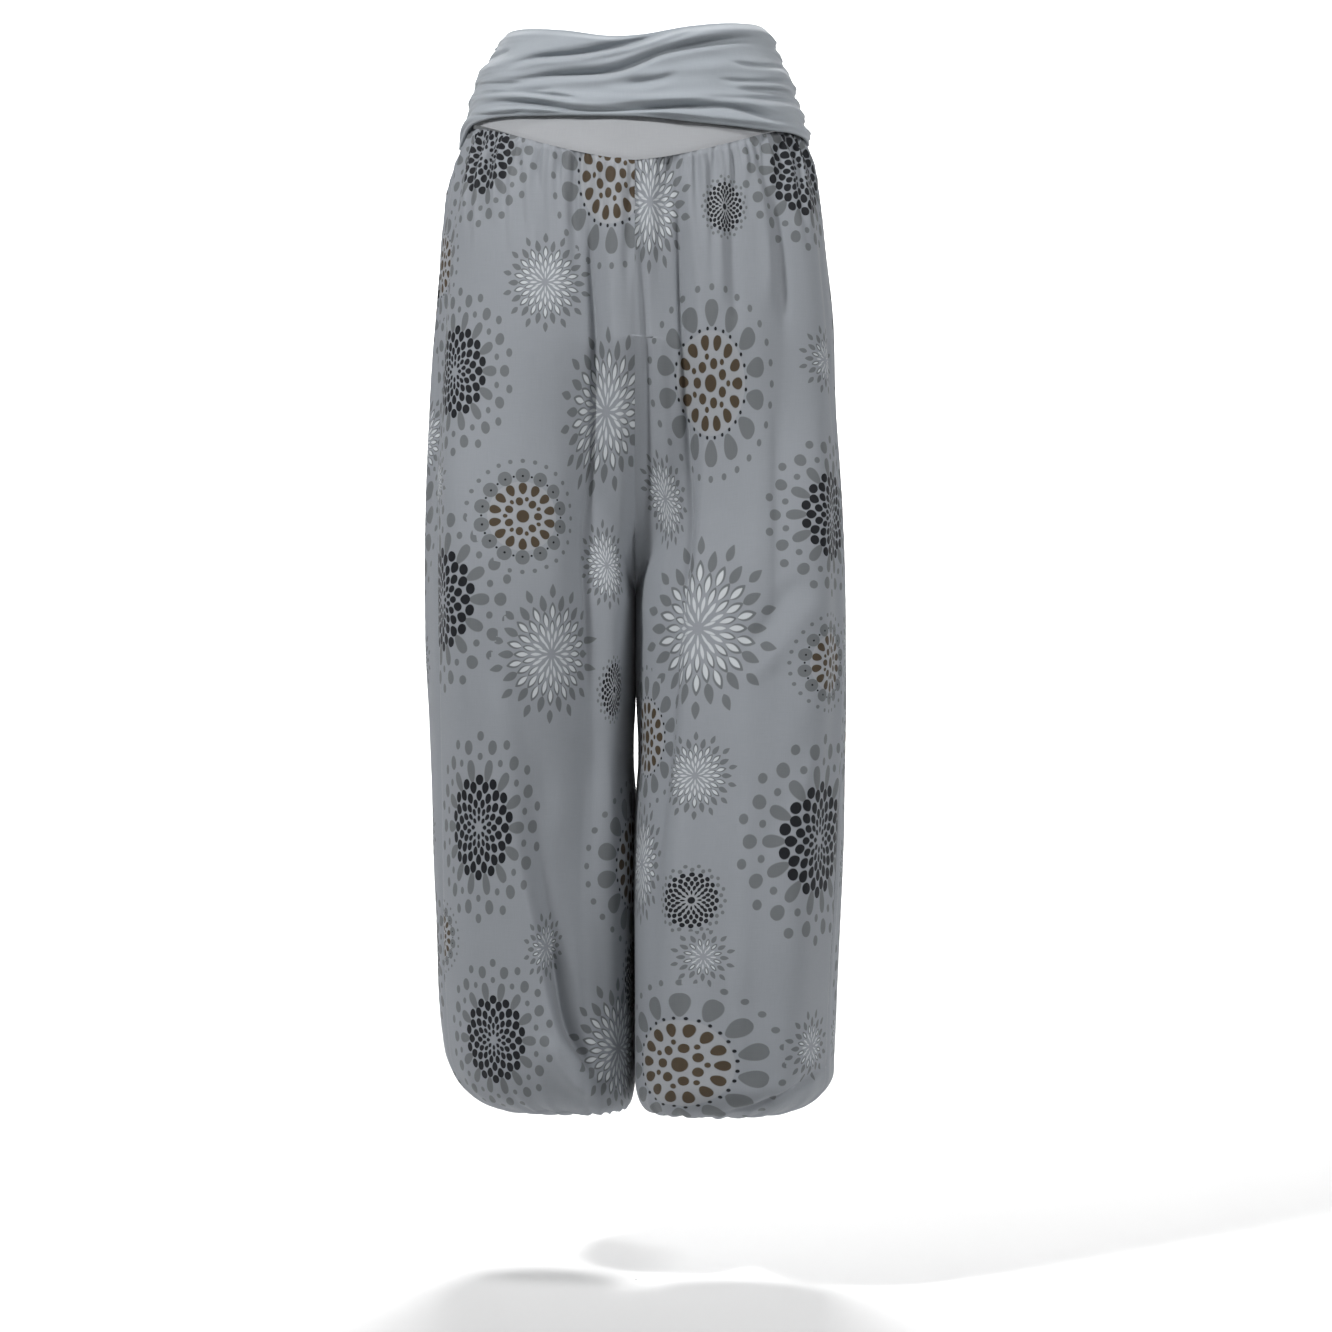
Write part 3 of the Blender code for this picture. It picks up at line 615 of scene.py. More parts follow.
class Leg:
    """One leg's cloth as a surface over share and run.

    The share goes from -1 at the centre front, through 0 at the side, to 1 at the
    centre back or, below the crotch, round to the inseam. The run is the length of
    cloth below the waist.
    """

    def __init__(self, side):
        self.side = side
        self.name = SIDE_NAMES[side]

    def flat(self, share, run):
        """The cloth with neither folds nor gathers, and before it takes its pose."""
        around, back = np.abs(share), share >= 0
        full = np.minimum(run, HEM.key[0])
        drop = np.where(run > full, HEM.at("drop", run), run)
        wide = BODY.at(self.name, full)
        deep = np.where(back, BODY.at("back", full), BODY.at("front", full))
        gap = INNER.at("gap", full)
        body_x, body_y = BODY_ARC.at(wide, deep, around)
        leg_x, leg_y = LEG_ARC.at((wide - gap) / 2, deep, around)
        forked = smooth((full - FORK_TOP) / (FORK_END - FORK_TOP))
        x = body_x + (leg_x + (wide + gap) / 2 - body_x) * forked
        y = body_y + (leg_y - body_y) * forked
        seam_drop = CROTCH - (CROTCH - FORK_TOP) * (1 - forked) ** U_SHAPE
        inseam = drop - (FORK_END - CROTCH) * (1 - smooth((drop - FORK_END) / INSEAM_FADE))
        at_seam = np.where(full < FORK_TOP, drop, np.where(full < FORK_END, seam_drop, inseam))
        drop = drop + (at_seam - drop) * around**SEAM_SWEEP
        closed = HEM.at(self.name, run) ** (1 + HEM_FULL * around**2)
        reach = CUFF_RADIUS + CUFF_PLEAT + SEAM_GAP
        x = x + (CUFF_CENTRE[self.side] + reach * np.cos(around * math.pi) - x) * closed
        y = y + (reach * np.sin(around * math.pi) - y) * closed
        x = np.maximum(x, 0.0)
        return np.stack([self.side * x, np.where(back, y, -y), -drop], axis=-1)

    def normals(self, share, run):
        """The outward normals of the flat cloth."""
        step = 1e-3
        before, after = np.maximum(share - step, -1.0), np.minimum(share + step, 1.0)
        around = self.flat(after, run) - self.flat(before, run)
        down = self.flat(share, run + step) - self.flat(share, run - step)
        return unit(np.cross(around, down) * -self.side)

    def fine_height(self, face, panel, below_seam, run, x):
        """The relief that is finer than the solids' folds and gathers."""
        key = 10 * self.side + face
        waist = uneven_wave(panel, FINE_GATHERS, 100 + key)
        length = FINE_GATHER_LENGTH * (1 + 0.6 * soft_noise(panel, 0 * panel, 200 + key, 0.13))
        length = np.maximum(length, FINE_GATHER_LEAST)
        height = FINE_GATHER * waist * (1 - smooth(below_seam / length))
        pucker = uneven_wave(panel, PUCKERS, 300 + key)
        height += PUCKER * pucker * np.exp(-below_seam / PUCKER_LENGTH)
        hem = smooth((run - HEM_GATHER_FULL) / HEM_FINE_LENGTH + 1)
        height += HEM_FINE_GATHER * hem * uneven_wave(panel, HEM_FINE_GATHERS, 400 + key)
        bumps = soft_noise(x, run * CLOTH_BUMP_SQUASH, 500 + key, CLOTH_BUMP)
        height += CLOTH_UNEVEN * smooth(below_seam / CLOTH_QUIET) * bumps
        from_side = panel * PANEL_WIDTH
        from_centre = (1 - panel) * PANEL_WIDTH
        height *= smooth(np.minimum(from_side, from_centre) / SEWN_LEVEL)
        for away, phase in ((from_side, 0.0), (from_centre, 1.7)):
            ripple = np.sin(2 * math.pi * run / SIDE_PUCKER_PITCH + phase + 3 * np.sin(run * 31))
            ripple *= 0.5 + 0.5 * np.sin(run * 17)
            height += SIDE_PUCKER * ripple * np.exp(-away / SIDE_PUCKER_REACH)
        for away, sunk in ((from_side, 1.0), (from_centre, 0.4), (below_seam, 1.0)):
            height -= SEAM_SUNK * sunk * np.exp(-((away / SEAM_REACH) ** 2))
        return height

    def surface(self, face, panel, share, run):
        """The cloth's outer face with all its relief, in its pose."""
        points = self.flat(share, run)
        normal = self.normals(share, run)
        facing = smooth(face * normal[..., 1] / FOLD_FACING)
        x = points[..., 0]
        below_seam = np.maximum(run - yoke_edge(x), 0.0)
        creases = LEG_CREASE_SCALE * crease_height(LEG_CREASES[face], run, x)
        height = (fold_height(face, x, run) + creases) * facing
        sideways = smooth(self.side * normal[..., 0] / FOLD_FACING)
        height += crease_height(SIDE_CREASES[self.side], run, points[..., 1]) * sideways
        height += gather_height(panel, below_seam, run)
        height += self.fine_height(face, panel, below_seam, run, x)
        risen = smooth(below_seam / SEAM_RISE)
        height = height * risen - SEAM_TUCK * (1 - risen)
        inseam = smooth((run - CROTCH) / INSEAM_TURN)
        reach = SEWN_REACH + (INSEAM_REACH - SEWN_REACH) * inseam
        normal[..., 0] *= smooth(np.abs(x) / reach)
        points = points + normal * height[..., None]
        points[..., 0] = self.side * np.maximum(self.side * points[..., 0], 0.0)
        return stand(points)


def waist_points(face, across, drop):
    """Points round the back or front of the waist."""
    wide = np.where(across >= 0, BODY.at("left", drop), BODY.at("right", drop))
    x, y = BODY_ARC.at(wide, BODY.at(FACE_NAMES[face], drop), 1 - np.abs(across))
    y = np.maximum(y, SEAM_GAP / 2)
    return np.stack([np.copysign(x, across), face * y, -drop + 0 * x], axis=-1)


def waist_normals(face, across, drop):
    """The level outward directions at rows of those points."""
    along = np.gradient(waist_points(face, across, drop), axis=-2)
    normal = unit(np.stack([along[..., 1], -along[..., 0], 0 * along[..., 0]], axis=-1) * face)
    normal[..., 0, :], normal[..., -1, :] = (1, 0, 0), (-1, 0, 0)
    return normal


def waist_columns(count):
    """Columns round half the waist, from left to right, closer towards the sides."""
    return np.sin(np.linspace(math.pi / 2, -math.pi / 2, count + 1))


# --- Meshes ---


def grid_corners(rows, columns):
    """The four corners of each face of a grid, as places in its list of points."""
    index = np.arange(rows * columns).reshape(rows, columns)
    cells = (index[:-1, :-1], index[1:, :-1], index[1:, 1:], index[:-1, 1:])
    return np.stack(cells, axis=-1).reshape(-1, 4)


def grid_mesh(name, points):
    """A grid of points as a smooth mesh."""
    mesh = bpy.data.meshes.new(name)
    mesh.from_pydata(points.reshape(-1, 3), [], grid_corners(*points.shape[:2]).tolist())
    mesh.shade_smooth()
    return mesh


def add_object(name, data):
    """An object in the scene."""
    made = bpy.data.objects.new(name, data)
    bpy.context.scene.collection.objects.link(made)
    return made


def cloth_maps(across, down):
    """A map of the cloth in metres, and one that fills the unit square."""
    cloth = np.stack(np.broadcast_arrays(across, -down), axis=-1)
    square = (cloth - cloth.min(axis=(0, 1))) / np.ptp(cloth, axis=(0, 1))
    return {"Cloth": cloth, "OFBake": square}


def add_piece(name, node, slot, points, maps, materials, middle=(0, 0, 0), outer=slice(None)):
    """A grid of points as one piece of cloth, in the place of a solid's node.

    Each map has a place for every point, or for every corner of every face. The faces
    of the outer rows look away from the upright line through the middle.
    """
    mesh = grid_mesh(name, points)
    rows, columns = points.shape[:2]
    corners = grid_corners(rows, columns)
    for map_name, values in maps.items():
        layer = mesh.uv_layers.new(name=map_name)
        if values.shape[:2] == (rows, columns):
            values = values.reshape(-1, 2)[corners]
        layer.uv.foreach_set("vector", values.astype(np.float32).ravel())
    for material in materials:
        mesh.materials.append(material)
    normals = np.empty(len(mesh.polygons) * 3, np.float32)
    mesh.polygons.foreach_get("normal", normals)
    outward = (points.reshape(-1, 3)[corners].mean(axis=1) - middle) * (1, 1, 0)
    away = (normals.reshape(-1, 3) * outward).reshape(rows - 1, columns - 1, 3)
    if away[outer].sum() < 0:
        mesh.flip_normals()
    made = add_object(name, mesh)
    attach(made, "root")
    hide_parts(node)
    return made


# --- The print: round flowers of seeds, drops and petals in rings, drawn in a unit disc ---

RINGS = {
    # ink, count, distance, half length, half width, blunt, taper, start. The three
    # sizes are in thousandths of the flower's radius, and a disc has only its radius.
    "seeds": (
        ("grey", 14, 945, 50, 50, 0.5, 0, 0),
        ("grey", 14, 845, 76, 68, 0.5, 0.1, 0.5),
        ("grey", 14, 735, 38, 38, 0.5, 0, 0),
        ("grey", 14, 595, 120, 60, 0.5, 0.25, 0.5),
        ("black", 14, 495, 55, 59, 0.5, 0.1, 0),
        ("black", 14, 422, 64, 53, 0.6, 0.2, 0.5),
        ("black", 14, 332, 58, 46, 0.6, 0.2, 0),
        ("black", 14, 250, 50, 36, 0.6, 0.2, 0.5),
        ("black", 14, 172, 42, 26, 0.6, 0.3, 0),
        ("black", 8, 95, 34, 24, 0.7, 0.3, 0.5),
    ),
    "bloom": (
        ("pale", 530),
        ("grey", 28, 960, 36, 38, 0.5, 0, 0.5),
        ("grey", 14, 700, 140, 98, 0.5, 0.35, 0),
        ("black", 28, 545, 20, 21, 0.5, 0, 0),
        ("brown", 14, 408, 80, 60, 0.5, 0.25, 0.5),
        ("brown", 7, 200, 56, 56, 0.5, 0.1, 0.5),
        ("brown", 7, 270, 32, 32, 0.5, 0.1, 0),
        ("brown", 95),
    ),
    "spokes": (
        ("pale", 600),
        ("grey", 28, 950, 38, 38, 0.5, 0, 0.5),
        ("grey", 14, 700, 125, 122, 0.5, 0.1, 0),
        ("black", 28, 690, 19, 20, 0.5, 0, 0.5),
        ("brown", 14, 475, 100, 70, 0.5, 0.3, 0),
        ("brown", 7, 260, 72, 64, 0.5, 0.1, 0.5),
        ("brown", 7, 300, 40, 34, 0.5, 0.1, 0),
        ("brown", 115),
    ),
    "dandelion": (
        ("grey", 14, 885, 100, 50, 0.9, -0.3, 0),
        ("grey", 14, 725, 118, 56, 0.8, -0.25, 0.5),
        ("grey", 14, 612, 120, 56, 0.9, -0.1, 0),
        ("white", 14, 590, 94, 32, 1.0, 0, 0),
        ("grey", 14, 497, 114, 50, 0.9, 0, 0.5),
        ("white", 14, 475, 94, 31, 1.0, 0, 0.5),
        ("grey", 14, 380, 104, 40, 0.9, 0.1, 0),
        ("white", 14, 362, 92, 26, 1.0, 0.1, 0),
        ("white", 14, 255, 90, 20, 1.0, 0.2, 0.5),
        ("white", 10, 150, 80, 14, 1.0, 0.2, 0),
    ),
    "puff": (
        ("grey", 12, 850, 120, 60, 0.8, -0.3, 0),
        ("grey", 12, 640, 130, 66, 0.8, -0.2, 0.5),
        ("grey", 12, 460, 130, 60, 0.7, 0, 0),
        ("white", 12, 450, 90, 26, 0.9, 0, 0),
        ("white", 12, 310, 95, 20, 0.9, 0.1, 0.5),
        ("white", 8, 180, 80, 15, 0.9, 0.2, 0),
    ),
    "mandala": (
        ("pale", 720),
        ("grey", 18, 930, 50, 52, 0.5, 0, 0.5),
        ("grey", 18, 830, 56, 56, 0.5, 0, 0),
        ("black", 20, 700, 62, 70, 0.5, 0, 0.5),
        ("black", 20, 580, 70, 60, 0.6, 0.2, 0),
        ("black", 20, 455, 76, 48, 0.6, 0.3, 0.5),
        ("black", 16, 330, 74, 40, 0.7, 0.4, 0),
        ("black", 12, 210, 66, 26, 0.8, 0.3, 0.5),
        ("black", 100),
    ),
}
KINDS = ("plain", *RINGS)

# Where each flower's middle is on the back panels: its share of the way from the side
# seam to the centre seam in hundredths, its run and radius in millimetres, and its
# squeeze across in hundredths
BACK_FLOWERS = {
    LEFT: {
        "seeds": ((34, 126, 72, 84), (22, 330, 80, 72), (7, 545, 88, 80), (21, 759, 92, 60),
                  (26, 959, 78, 70)),
        "mandala": ((91, 908, 46, 80), (68, 633, 34, 50)),
        "bloom": ((90, 150, 90, 64), (86, 800, 83, 90), (4, 225, 56, 80)),
        "spokes": ((38, 460, 54, 100), (0, 864, 37, 100)),
        "dandelion": ((62, 250, 47, 90), (86, 363, 80, 58), (43, 593, 67, 86), (69, 492, 43, 52),
                      (76, 975, 70, 90)),
        "puff": ((43, 872, 35, 60), (2, 433, 33, 100)),
    },
    RIGHT: {
        "seeds": ((27, 141, 76, 95), (15, 462, 76, 100), (15, 771, 102, 82)),
        "bloom": ((68, 345, 92, 66), (76, 674, 70, 70), (56, 985, 81, 128)),
        "spokes": ((15, 605, 49, 100),),
        "dandelion": ((94, 175, 68, 58), (84, 417, 46, 55), (54, 571, 88, 84), (54, 712, 43, 95),
                      (75, 797, 60, 55)),
        "puff": ((21, 316, 34, 100), (14, 969, 37, 100), (49, 884, 30, 110)),
        "mandala": ((64, 181, 31, 76), (53, 831, 35, 100)),
    },
}

# The fronts repeat one block of flowers down the cloth: share, run and radius
FRONT_BLOCK = {
    "bloom": ((16, 0, 80),),
    "mandala": ((43, -30, 31), (48, 215, 30)),
    "dandelion": ((66, 20, 60), (40, 100, 66), (92, 225, 48)),
    "puff": ((90, -20, 34), (12, 125, 34)),
    "seeds": ((88, 95, 76), (22, 225, 78)),
    "spokes": ((63, 165, 50),),
}
BLOCK_LENGTH = 310
BLOCK_STARTS = {LEFT: 165, RIGHT: 55}
BLOCK_COUNT = 4
FRONT_SQUEEZE = 88
# The cloth's threads run straight down at this distance from the centre seam
GRAIN_LINE = 0.098
# How far from its middle a flower is drawn, in its own radius
FLOWER_EDGE = 1.04


def flowers_of(side, face):
    """Rows of kind, share, run, radius and squeeze for the flowers of one panel."""
    if face == BACK:
        return [(kind, *row) for kind, rows in BACK_FLOWERS[side].items() for row in rows]
    found = []
    for block in range(BLOCK_COUNT):
        start = BLOCK_STARTS[side] + block * BLOCK_LENGTH
        turned = (block % 2) != (side == LEFT)
        for kind, rows in FRONT_BLOCK.items():
            for share, run, radius in rows:
                across = 100 - share if turned else share
                found.append((kind, across, start + run, radius, FRONT_SQUEEZE))
    return found


def printed_places(leg, face, share, run):
    """Where the print's flowers lie on a panel.

    Gives each face's kind of flower, its corners in that flower's unit disc, and how
    far each point is across the cloth.
    """
    corners = grid_corners(*run.shape)
    cloth = leg.flat(share, run)
    across = distances(cloth, axis=1)
    for row, line in enumerate(cloth[..., 0]):
        across[row] -= np.interp(-GRAIN_LINE, -np.abs(line), across[row])
    level = -cloth[..., 2]
    start = np.searchsorted(run[:, 0], HEM.key[0])
    level[start:] = level[start] + run[start:] - run[start]
    best = np.full(len(corners), FLOWER_EDGE)
    kinds = np.zeros(len(corners), np.int32)
    places = np.zeros((len(corners), 4, 2))
    for kind, centre_share, centre_run, radius, squeeze in flowers_of(leg.side, face):
        column = round(centre_share / 100 * (run.shape[1] - 1))
        row = np.abs(run[:, column] - centre_run * MM).argmin()
        beside = (across - across[row, column]) / (radius * MM * squeeze / 100)
        above = (level[row, column] - level) / (radius * MM)
        local = np.stack([beside, above], axis=-1).reshape(-1, 2)[corners]
        away = np.linalg.norm(local.mean(axis=1), axis=-1)
        nearer = away < best
        best[nearer] = away[nearer]
        kinds[nearer] = KINDS.index(kind)
        places[nearer] = local[nearer]
    return kinds, places, across


# --- Materials ---

CLOTH_GREY = (0.238, 0.254, 0.276)
INKS = {
    "grey": (0.125, 0.134, 0.142),
    "black": (0.005, 0.006, 0.009),
    "brown": (0.056, 0.040, 0.024),
    "white": (0.47, 0.495, 0.515),
    "pale": (0.275, 0.288, 0.305),
}
BAND_GREY = (0.305, 0.333, 0.363)
YOKE_GREY = (0.318, 0.327, 0.342)
# The soft edge of an ink, in a flower's radius
INK_EDGE = 0.012
THREAD = 0.00042
STITCH_WIDTH, STITCH_HEIGHT = 0.0009, 0.0007
STREAKS = ((1500, 60, 1), (60, 1500, 1))
STREAK_DEPTH = 0.10
CLOUD_SCALE = 14.0
VISCOSE = {"Sheen Weight": 0.04, "Sheen Roughness": 0.45, "Specular IOR Level": 0.22}
KNIT = {"Sheen Roughness": 0.5, "Specular IOR Level": 0.25}
FLOOR_PALE = ((0.74, 0.74, 0.74), (0.76, 0.76, 0.76))


class Graph:
    """A node tree that is written as short calls."""

    def __init__(self, tree):
        self.tree = tree

    def join(self, value, socket):
        """Links a socket to another, or sets its number, vector or colour."""
        if isinstance(value, bpy.types.NodeSocket):
            self.tree.links.new(value, socket)
        elif socket.type == "RGBA":
            socket.default_value = (*value, 1.0)
        else:
            socket.default_value = value

    def fill(self, node, inputs):
        """Joins a node's inputs, each named by its key."""
        for key, value in inputs.items():
            self.join(value, node.inputs[key])

    def node(self, kind, inputs=None, **settings):
        """A new node."""
        made = self.tree.nodes.new(kind)
        for key, value in settings.items():
            setattr(made, key, value)
        self.fill(made, inputs or {})
        return made

    def math(self, operation, *values, clamp=False):
        """The result of arithmetic on numbers."""
        inputs = dict(enumerate(values))
        return self.node("ShaderNodeMath", inputs, operation=operation, use_clamp=clamp).outputs[0]

    def blend(self, factor, below, above):
        """One colour laid over another."""
        inputs = {0: factor, 6: below, 7: above}
        return self.node("ShaderNodeMix", inputs, data_type="RGBA").outputs[2]

    def noise(self, place, scale, detail):
        """Soft uneven numbers about a half."""
        inputs = {"Vector": place, "Scale": scale, "Detail": detail}
        return self.node("ShaderNodeTexNoise", inputs).outputs[0]

    def map_place(self, name):
        """A UV map's place, and its two numbers."""
        place = self.node("ShaderNodeUVMap", uv_map=name).outputs[0]
        across, up, _ = self.node("ShaderNodeSeparateXYZ", {0: place}).outputs
        return place, across, up


def ring_group():
    """A group that draws one ring of drops in a flower's unit disc, as a mask."""
    tree = bpy.data.node_groups.new("ring_of_drops", "ShaderNodeTree")
    names = ("Reach", "Turn", "Count", "At", "Long", "Wide", "Blunt", "Taper", "Start")
    for name in names:
        tree.interface.new_socket(name, in_out="INPUT", socket_type="NodeSocketFloat")
    tree.interface.new_socket("Mask", in_out="OUTPUT", socket_type="NodeSocketFloat")
    g = Graph(tree)
    given = g.node("NodeGroupInput").outputs[: len(names)]
    reach, turn, count, at, long, wide, blunt, taper, start = given
    along = g.math("DIVIDE", g.math("SUBTRACT", reach, at), long)
    turns = g.math("ADD", g.math("MULTIPLY", turn, count), start)
    off = g.math("ABSOLUTE", g.math("SUBTRACT", g.math("FRACT", turns), 0.5))
    pitch = g.math("DIVIDE", g.math("MULTIPLY", reach, 2 * math.pi), count)
    aside = g.math("MULTIPLY", off, pitch)
    inside = g.math("MAXIMUM", g.math("SUBTRACT", 1.0, g.math("MULTIPLY", along, along)), 0.0)
    body = g.math("MULTIPLY", wide, g.math("POWER", inside, blunt))
    tapered = g.math("MULTIPLY", body, g.math("ADD", g.math("MULTIPLY", taper, along), 1.0))
    edge = g.math("DIVIDE", g.math("SUBTRACT", tapered, aside), INK_EDGE)
    mask = g.math("ADD", edge, 0.5, clamp=True)
    shown = g.math("MULTIPLY", inside, 12.0, clamp=True)
    g.node("NodeGroupOutput", {"Mask": g.math("MULTIPLY", mask, shown)})
    return tree


def cloth_tone(g, at, colour, cloud):
    """The cloth's colour with thread streaks and soft clouds."""
    warp, weft = (
        g.noise(g.node("ShaderNodeMapping", {0: at, "Scale": scale}).outputs[0], 1.0, 2.0)
        for scale in STREAKS
    )
    streaks = g.math("SUBTRACT", g.math("ADD", warp, weft), 1.0)
    streaks = g.math("MULTIPLY_ADD", streaks, STREAK_DEPTH, 1.0)
    clouds = g.math("SUBTRACT", g.noise(at, CLOUD_SCALE, 3.0), 0.5)
    clouds = g.math("MULTIPLY_ADD", clouds, cloud, 1.0)
    tone = g.math("MULTIPLY", streaks, clouds)
    tone = g.node("ShaderNodeCombineXYZ", {0: tone, 1: tone, 2: tone}).outputs[0]
    return g.node("ShaderNodeVectorMath", {0: colour, 1: tone}, operation="MULTIPLY").outputs[0]


def new_material(name):
    """A new material, its graph and its shader."""
    material = bpy.data.materials.new(name)
    material.use_nodes = True
    shader = material.node_tree.nodes["Principled BSDF"]
    shader.inputs["Metallic"].default_value = 0.0
    return material, Graph(material.node_tree), shader


def printed_material(kind, drops):
    """The printed viscose, with one kind of flower."""
    material, g, shader = new_material(f"viscose_{kind}")
    at, across, up = g.map_place("Cloth")
    turn = 2 * math.pi / THREAD
    warp, weft = (g.math("SINE", g.math("MULTIPLY", way, turn)) for way in (across, up))
    weave = g.math("MULTIPLY", warp, weft)
    colour = CLOTH_GREY
    if kind != "plain":
        flower, beside, above = g.map_place("Flower")
        length = g.node("ShaderNodeVectorMath", {0: flower}, operation="LENGTH")
        reach = length.outputs["Value"]
        turn = g.math("DIVIDE", g.math("ARCTAN2", above, beside), 2 * math.pi)
        for ink, *ring in RINGS[kind]:
            if len(ring) == 1:
                inside = g.math("SUBTRACT", ring[0] / 1000, reach)
                mask = g.math("DIVIDE", inside, INK_EDGE, clamp=True)
            else:
                count, *sizes, blunt, taper, start = ring
                sizes = (size / 1000 for size in sizes)
                inputs = dict(enumerate((reach, turn, count, *sizes, blunt, taper, start)))
                mask = g.node("ShaderNodeGroup", inputs, node_tree=drops).outputs[0]
            colour = g.blend(mask, colour, INKS[ink])
    bump = g.node("ShaderNodeBump", {"Height": weave, "Strength": 0.12, "Distance": 0.0002})
    looks = {
        "Base Color": cloth_tone(g, at, colour, 0.05),
        "Roughness": g.math("MULTIPLY_ADD", weave, 0.04, 0.66),
        "Normal": bump.outputs[0],
    }
    g.fill(shader, looks | VISCOSE)
    return material


def jersey_material(name, colour, sheen):
    """A fine knitted jersey: rows of small stitches, with a heathered tone."""
    material, g, shader = new_material(name)
    at, across, up = g.map_place("Cloth")
    rib = g.math("SINE", g.math("MULTIPLY", across, 2 * math.pi / STITCH_WIDTH))
    rib = g.math("ABSOLUTE", rib)
    rows = g.math("MULTIPLY", up, 2 * math.pi / STITCH_HEIGHT)
    knit = g.math("MULTIPLY", rib, g.math("SINE", g.math("MULTIPLY_ADD", rib, 1.6, rows)))
    fuzz = g.noise(at, 900.0, 3.0)
    height = g.math("MULTIPLY_ADD", fuzz, 0.6, knit)
    bump = g.node("ShaderNodeBump", {"Height": height, "Strength": 0.18, "Distance": 0.0003})
    looks = {
        "Base Color": cloth_tone(g, at, colour, 0.07),
        "Roughness": g.math("MULTIPLY_ADD", fuzz, 0.12, 0.74),
        "Normal": bump.outputs[0],
        "Sheen Weight": sheen,
    }
    g.fill(shader, looks | KNIT)
    return material


# --- Pieces ---

LEG_COLUMNS, LEG_ROWS = 210, 300
# The rows of a leg panel lie closer near the yoke and at the hem
ROW_STATIONS = (0.0, 0.30, 0.72, 1.0)
ROW_PLACES = (0.0, 0.19, 0.83, 1.0)
LEG_MIDDLE = (0.09, 0.0, -0.6)
SEAM_GUESS = 0.110


def add_leg_panel(side, face, materials):
    """One printed panel as a fine shell, from the side seam to the centre seam."""
    leg = Leg(side)
    steps = np.interp(np.linspace(0, 1, LEG_ROWS + 1), ROW_STATIONS, ROW_PLACES)[:, None]
    panel = np.linspace(0, 1, LEG_COLUMNS + 1) + 0 * steps
    run = SEAM_GUESS + steps * (HEM_END - SEAM_GUESS) + 0 * panel
    for _ in range(4):
        seam = SIDE_SEAM.at(leg.name, run)
        share = np.clip(seam + face * panel * (1 - face * seam), -1, 1)
        edge = yoke_edge(leg.flat(share, run)[..., 0])
        run = edge + steps * (HEM_END - edge)
    run[0] -= SEAM_ALLOWANCE
    points = leg.surface(face, panel, share, run)
    kinds, places, across = printed_places(leg, face, share, run)
    maps = {
        "Flower": places,
        "Cloth": np.stack([across, -run], axis=-1),
        "OFBake": np.stack([panel, 1 - steps + 0 * panel], axis=-1),
    }
    middle = stand(np.array([side * LEG_MIDDLE[0], *LEG_MIDDLE[1:]]))
    place = f"{FACE_NAMES[face]}_{leg.name}"
    piece = (f"cloth_{place}", f"leg_{place}", "printed_viscose")
    made = add_piece(*piece, points, maps, materials, middle)
    made.data.polygons.foreach_set("material_index", kinds)
    return made


BAND_COLUMNS, BAND_ROWS = 250, 96
BAND_OUTSIDE = slice(21, 90)
BAND_MIDDLE_ROW = 60
BAND_RETURN_SHARES = np.linspace(1.0, 0.15, 8)
TOP_ROLL = 0.0017
HEM_ROLL = 0.0016
# Inside the hem, the band turns up by these heights and leans in
HEM_TURN_UPS = (0.003, 0.007, 0.012)
HEM_LEAN = 0.12
BAND_SLACK = 0.0034
# The band's creases are deeper than their rows say, by this factor
BAND_CREASE_SCALE = 1.25
BAND_SEAMLESS = 0.06
# Down the band, the share where its lift is full, and the shares at both ends that stay quiet
BAND_LIFT_FULL = 0.7
BAND_QUIET_TOP, BAND_QUIET_HEM = 0.08, 0.05
BAND_UNEVEN = 0.0005
BAND_BUMP = 0.016
BAND_RIPPLE = 0.0010
BAND_RIPPLES = 19
BAND_RIPPLE_REACH = 0.018
BAND_SUNK = 0.0012
BAND_LEAST = 0.0008
QUARTER_GIRTH = 0.17


def softened(value, near):
    """The value, kept above zero with a soft turn."""
    return (value + np.sqrt(value * value + near * near)) / 2


def band_rolls(face, across, share):
    """The height of the band's soft rolls."""
    height = np.zeros(np.shape(across))
    for places, width, tall in BAND_ROLLS[face]:
        middle = np.interp(across, BAND_STATIONS, places)
        height += tall * np.exp(-(((share - middle) / width) ** 2))
    return height


